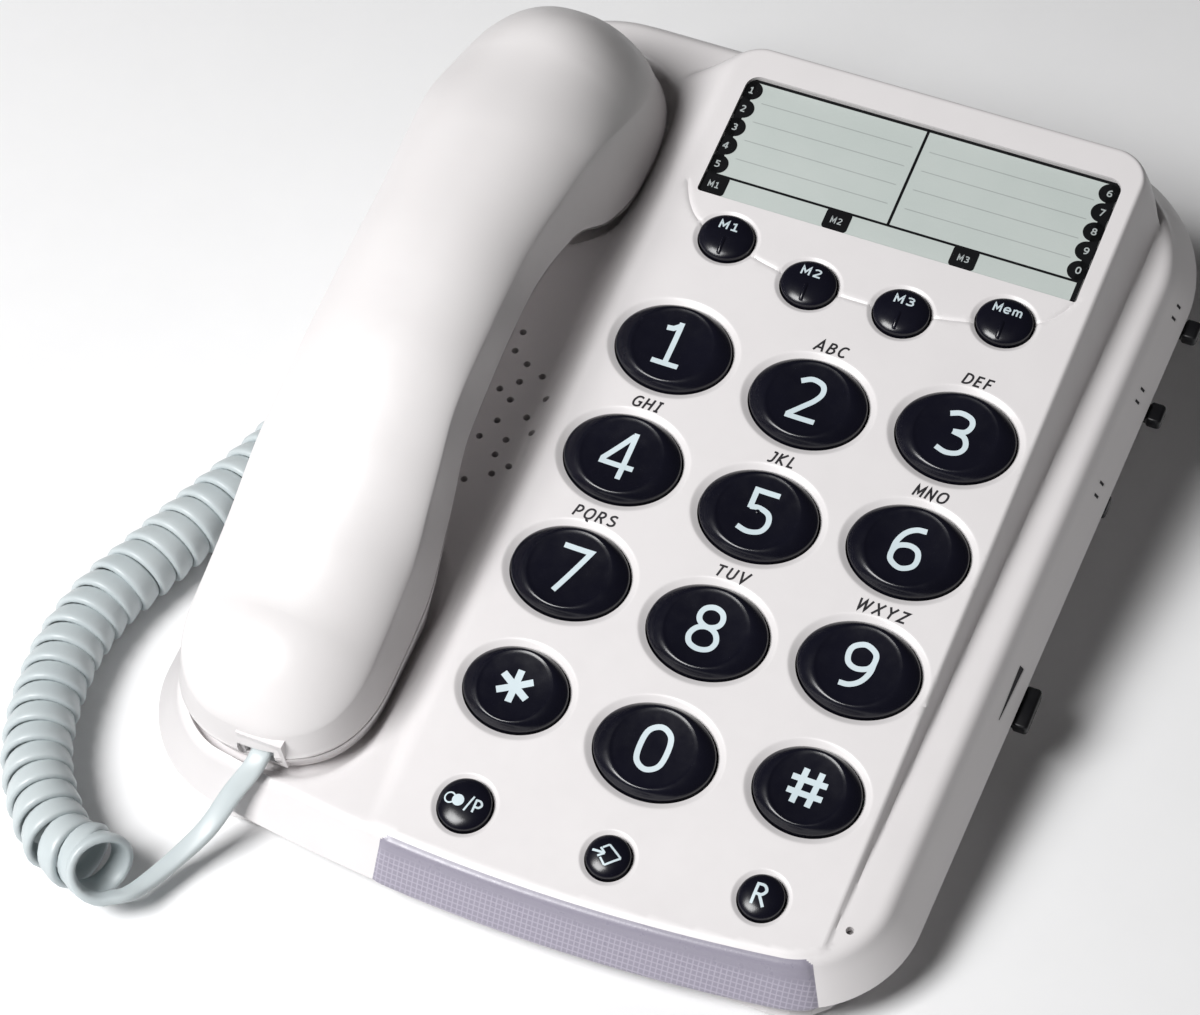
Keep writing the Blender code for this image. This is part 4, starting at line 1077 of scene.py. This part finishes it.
HANDSET_FRONT, HANDSET_BACK, HANDSET_SPINE = 3.5, 194.0, (27.0, 165.0)
HANDSET_X = ((0, -55.6), (60, -56.6), (120, -57.4), (200, -57.6))
HANDSET_HALF = ((0, 22.2), (45, 22.6), (62, 21.6), (80, 19.9), (115, 19.7), (140, 21.6),
                (160, 23.3), (200, 23.3))
HANDSET_SPINE_TOP = ((0, 22), (27, 23.5), (45, 28), (65, 34.5), (90, 41), (115, 43.5),
                     (140, 43), (165, 40), (200, 40))
HANDSET_CREASE = ((0, 9.5), (25, 14.5), (45, 18.5), (62, 26.5), (85, 33.5), (115, 35),
                  (145, 33), (170, 22), (200, 10))
HANDSET_SEAM = ((0, 3.8), (25, 4.0), (45, 5.8), (62, 13.5), (80, 21.5), (110, 25.5),
                (132, 21.5), (147, 9.0), (158, 5.2), (172, 4.2), (200, 4.2))
HANDSET_UNDER = ((0, -2.4), (50, -2.4), (57, 2.0), (66, 12.5), (78, 18.0), (108, 21.0),
                 (134, 17.5), (147, 4.0), (153, -5.5), (200, -5.5))
HANDSET_TUCK = ((0, 1), (44, 1), (58, 0.9), (70, 0.86), (125, 0.82), (140, 0.72), (152, 0.74),
                (168, 0.82), (200, 0.84))
LIFT_JACK = (-51.9, 4.4)


def slope_at(points, i):
    if i in (0, len(points) - 1):
        return 0.0
    (a, before), (b, here), (c, after) = points[i - 1:i + 2]
    rise, then = (here - before) / (b - a), (after - here) / (c - b)
    return 0.0 if rise * then <= 0 else 2 * rise * then / (rise + then)


def smooth(points, at):
    """A smooth curve through (place, value) points that never overshoots them."""
    at = min(max(at, points[0][0]), points[-1][0])
    i = max(k for k in range(len(points) - 1) if points[k][0] <= at)
    (a, low), (b, high) = points[i], points[i + 1]
    run = b - a
    t = (at - a) / run
    return (low * (2 * t ** 3 - 3 * t ** 2 + 1) + high * (3 * t ** 2 - 2 * t ** 3)
            + slope_at(points, i) * run * (t ** 3 - 2 * t ** 2 + t)
            + slope_at(points, i + 1) * run * (t ** 3 - t ** 2))


def handset_stations():
    """Points round the handset's plan: side, distance along, and how far out of the spine."""
    ends, straight = 30, 92
    front, back = HANDSET_SPINE
    turns = [math.pi / 2 * i / ends for i in range(ends + 1)]
    stations = [(back + (HANDSET_BACK - back) * math.cos(t) ** 0.85, math.sin(t) ** 0.85)
                for t in turns[:-1]]
    stations += [(back + (front - back) * i / straight, 1.0) for i in range(straight + 1)]
    stations += [(front - (front - HANDSET_FRONT) * math.sin(t) ** 0.85, math.cos(t) ** 0.85)
                 for t in turns[1:]]
    right = [(1, along, share) for along, share in stations]
    left = [(-1, along, share) for along, share in reversed(stations[1:-1])]
    return right + left


def handset_point(station, part, height, inset=0.0):
    side, along, share = station
    spine = min(max(along, HANDSET_SPINE[0]), HANDSET_SPINE[1])
    reach = max(0.0, smooth(HANDSET_HALF, spine) - inset)
    stretch = (along - spine) * part
    if inset and abs(along - spine) > 1e-6:
        stretch *= max(0.0, 1 - inset / abs(along - spine) * (1 - share))
    return (smooth(HANDSET_X, spine) + side * share * reach * part, spine + stretch, height)


def handset_shell(name, rows, materials, replaces):
    """A shell from rows of (part, height rule, tucked, inset), outline to spine."""
    stations = handset_stations()
    rings = []
    for part, rule, tucked, inset in rows:
        ring = []
        for station in stations:
            tuck = smooth(HANDSET_TUCK, station[1]) if tucked else 1.0
            share = 1 + (tuck - 1) * tucked
            ring.append(handset_point(station, part * share, rule(station), inset))
        rings.append(ring)
    shape = Shape()
    shape.loft(rings)
    made = shape.place(name, RIM, [materials["handset"]], None, sharp=50)
    mesh = bmesh.new()
    mesh.from_mesh(made.data)
    bmesh.ops.remove_doubles(mesh, verts=mesh.verts, dist=0.00004)
    bmesh.ops.recalc_face_normals(mesh, faces=mesh.faces)
    mesh.to_mesh(made.data)
    mesh.free()
    cut_jack_opening(made)
    made.data.set_sharp_from_angle(angle=math.radians(50))
    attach(made, "handset")
    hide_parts(*replaces)
    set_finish(made, "warm_white_plastic")
    return made


def cut_jack_opening(shell):
    """Clear the cord socket's opening in the front end."""
    x, height = LIFT_JACK
    low, high = (x - 5.2, -5, height - 4.4), (x + 2.9, 16, height + 1.1)
    mesh = bmesh.new()
    bmesh.ops.create_cube(mesh, size=1)
    for v in mesh.verts:
        spot = Vector([(a + b) / 2 + c * (b - a) for a, b, c in zip(low, high, v.co)])
        v.co = (RIM @ spot) * MM
    data = bpy.data.meshes.new("jack_tool")
    mesh.to_mesh(data)
    mesh.free()
    tool = bpy.data.objects.new("jack_tool", data)
    bpy.context.scene.collection.objects.link(tool)
    cut = shell.modifiers.new("jack", 'BOOLEAN')
    cut.operation, cut.object = 'DIFFERENCE', tool
    bpy.context.view_layer.update()
    depsgraph = bpy.context.evaluated_depsgraph_get()
    done = bpy.data.meshes.new_from_object(shell.evaluated_get(depsgraph))
    shell.modifiers.clear()
    shell.data = done
    bpy.data.objects.remove(tool)


def handset_shells(materials):
    def seam(station):
        return smooth(HANDSET_SEAM, station[1])

    def wall(share):
        def rule(station):
            low = seam(station)
            return low + (smooth(HANDSET_CREASE, station[1]) - low) * share
        return rule

    def dome(part):
        def rule(station):
            spine = min(max(station[1], HANDSET_SPINE[0]), HANDSET_SPINE[1])
            edge = smooth(HANDSET_CREASE, station[1])
            return edge + (smooth(HANDSET_SPINE_TOP, spine) - edge) * max(0, 1 - part ** 2.3) ** 0.8
        return rule

    def under(share, lift=0.0):
        def rule(station):
            low = smooth(HANDSET_UNDER, station[1])
            top = seam(station) - 0.25
            return top + (low + lift - top) * share
        return rule

    rows = [(0.0, wall(0.3), 0, 0), (0.9, wall(0.3), 0, 0.0), (1.0, wall(0.06), 0, 2.0),
            (1.0, wall(0.0), 0, 0.5), (1.0, wall(0.02), 0, 0.15), (1.0, wall(0.06), 0, 0)]
    lean = 0.075
    rows += [(1.0 - lean * k / 8, wall(k / 8), 0, 0) for k in range(1, 9)]
    for k in range(1, 31):
        part = math.cos(math.pi / 2 * k / 30)
        rows.append(((1 - lean) * part, dome(part), 0, 0))
    handset_shell("handset_upper", rows, materials, ("handset_back_shell",))

    rows = [(0.0, under(0.2), 0, 0), (0.9, under(0.2), 0, 0.0), (1.0, under(0.03), 0, 2.0),
            (1.0, under(0.0), 0, 0.5), (1.0, under(0.01), 0, 0.15)]
    rows += [(1.0 - 0.05 * smoothstep(t), under(t * 0.8), smoothstep(t / 0.6), 0)
             for t in [k / 10 for k in range(1, 11)]]
    for k in range(1, 7):
        turn = math.pi / 2 * k / 6
        rows.append((0.95 - 0.09 * (1 - math.cos(turn)), under(0.8 + 0.2 * math.sin(turn)), 1, 0))
    rows += [(part, under(1), 1, 0) for part in (0.8, 0.65, 0.5, 0.3, 0.1, 0.0)]
    handset_shell("handset_lower", rows, materials, ("handset_front_shell",))


# ---------------------------------------------------------------- carried-over CAD parts

CAD_LOOKS = {
    "white": "base_lower_housing", "handset": "handset_jack", "board": "main_board",
    "mat": "keypad_mat", "rubber": "foot_1 foot_2 foot_3 foot_4",
    "dark": "ringer_speaker hook_plunger hook_switch handset_receiver handset_jack_base line_jack",
    "steel": "panel_microphone hook_spring handset_microphone handset_weight "
             "screw_1 screw_2 screw_3 screw_4",
    "plug": "ring_led_left ring_led_right handset_cord_plug base_cord_plug",
}
CAD_BEVELS = {"base_lower_housing": 0.7, "handset_cord_plug": 0.35, "base_cord_plug": 0.35,
              "hook_plunger": 0.3, "foot_1": 0.4, "foot_2": 0.4, "foot_3": 0.4, "foot_4": 0.4}


def dress_cad(materials):
    for look, names in CAD_LOOKS.items():
        for name in names.split():
            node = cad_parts[name]
            node.data.materials.clear()
            node.data.materials.append(materials[look])
            if name in CAD_BEVELS:
                bevel = node.modifiers.new("soft_edges", 'BEVEL')
                bevel.width = CAD_BEVELS[name] * MM
                bevel.segments = 3
                bevel.angle_limit = math.radians(40)


SIDE_CONTROLS = (("volume_slider", 75.9, 4.75, 88.3), ("side_selector", 127.4, 2.3, 86.3),
                 ("tone_switch", 152.5, 2.3, 90.0), ("ringer_switch", 175.4, 2.3, 90.3))
NECK_START, NECK, SLIDE_LEVEL = 74.6, 0.35, -11.5


def side_controls(materials):
    """Rounded knobs with a waist where they pass the skirt; the longest has a ribbed face."""
    for name, along, half, end in SIDE_CONTROLS:
        rings = []
        for x, grow, tall in ((NECK_START, -NECK, 1.3), (end - 3.4, -NECK, 1.3),
                              (end - 3.2, -0.1, 1.5), (end - 2.9, 0.08, 1.6),
                              (end - 0.8, 0.08, 1.6), (end - 0.35, -0.05, 1.5),
                              (end - 0.1, -0.3, 1.25), (end, -0.7, 0.9)):
            corners = rectangle(-half - grow, -tall, half + grow, tall)
            rings.append([(x, along + p.x, SLIDE_LEVEL + p.y)
                          for p in rounded_outline(corners, [0.5] * 4, 4)])
        shape = Shape()
        shape.loft(rings, cap_first=True, cap_last=True)
        for k in range(-3, 4) if half > 4 else ():
            y, z = along + k * 1.15, SLIDE_LEVEL
            shape.loft([[(end + x, a, b) for a, b in rectangle(y - wide, z - tall, y + wide, z + tall)]
                        for x, wide, tall in ((-0.02, 0.3, 0.9), (0.0, 0.12, 0.7))], cap_last=True)
        shape.place(f"{name}_knob", RIM, [materials["knob"]], name, replaces=(name,), sharp=35,
                    slot="gloss_black_plastic")


def side_marks(materials):
    """A wedge beside the volume slider and two ticks beside each switch."""
    shape = Shape()

    def spot(along, share):
        spread = (RIM_HALF_BACK - RIM_HALF_FRONT) / (RIM_BACK - RIM_FRONT)
        x = RIM_HALF_FRONT + spread * (along - RIM_FRONT)
        return x + 1.2 + 2.6 * share + 0.06, along, -3.5 - 3.5 * share + 0.06

    for k in range(12):
        a, b = k / 12, (k + 1) / 12
        shape.add([spot(69.0 + 13.0 * t, 0.62 + d * (0.02 + 0.13 * t))
                   for t in (a, b) for d in (-1, 1)], [(0, 1, 3, 2)])
    for name, along, half, end in SIDE_CONTROLS[1:]:
        for shift in (-2.0, 1.3):
            shape.add([spot(along + shift + t, 0.45 + d) for t in (0, 0.7) for d in (0, 0.3)],
                      [(0, 1, 3, 2)])
    shape.place("side_marks", RIM, [materials["letter"]], "base", sharp=0)


# ---------------------------------------------------------------- floor and light

LAMP_AT, LAMP_POWER, LAMP_SIZE = (-0.42, -0.60, 0.88), 16.0, 0.50


def make_stage(materials):
    shape = Shape()
    shape.patch(-3000, -3000, 3000, 3000, 0)
    floor = shape.place("floor", Matrix.Identity(4), [materials["floor"]], None)
    scene = bpy.context.scene
    world = bpy.data.worlds.new("studio")
    world.use_nodes = True
    background = world.node_tree.nodes["Background"]
    set_inputs(background, {"Color": (1.0, 0.975, 0.97, 1), "Strength": 0.05})
    scene.world = world
    scene.view_settings.view_transform = 'Standard'
    lamp = bpy.data.lights.new("key_light", 'AREA')
    lamp.energy, lamp.size = LAMP_POWER, LAMP_SIZE
    light = bpy.data.objects.new("key_light", lamp)
    light.location = LAMP_AT
    light.rotation_mode = 'QUATERNION'
    light.rotation_quaternion = (-Vector(LAMP_AT)).to_track_quat('-Z', 'Y')
    scene.collection.objects.link(light)


make_camera()
MATERIALS = make_materials()
make_cord(MATERIALS)
upper_housing(MATERIALS)
make_keys(MATERIALS)
panel_letters(MATERIALS)
index_card(MATERIALS)
index_window(MATERIALS)
handset_shells(MATERIALS)
side_controls(MATERIALS)
side_marks(MATERIALS)
dress_cad(MATERIALS)
make_stage(MATERIALS)
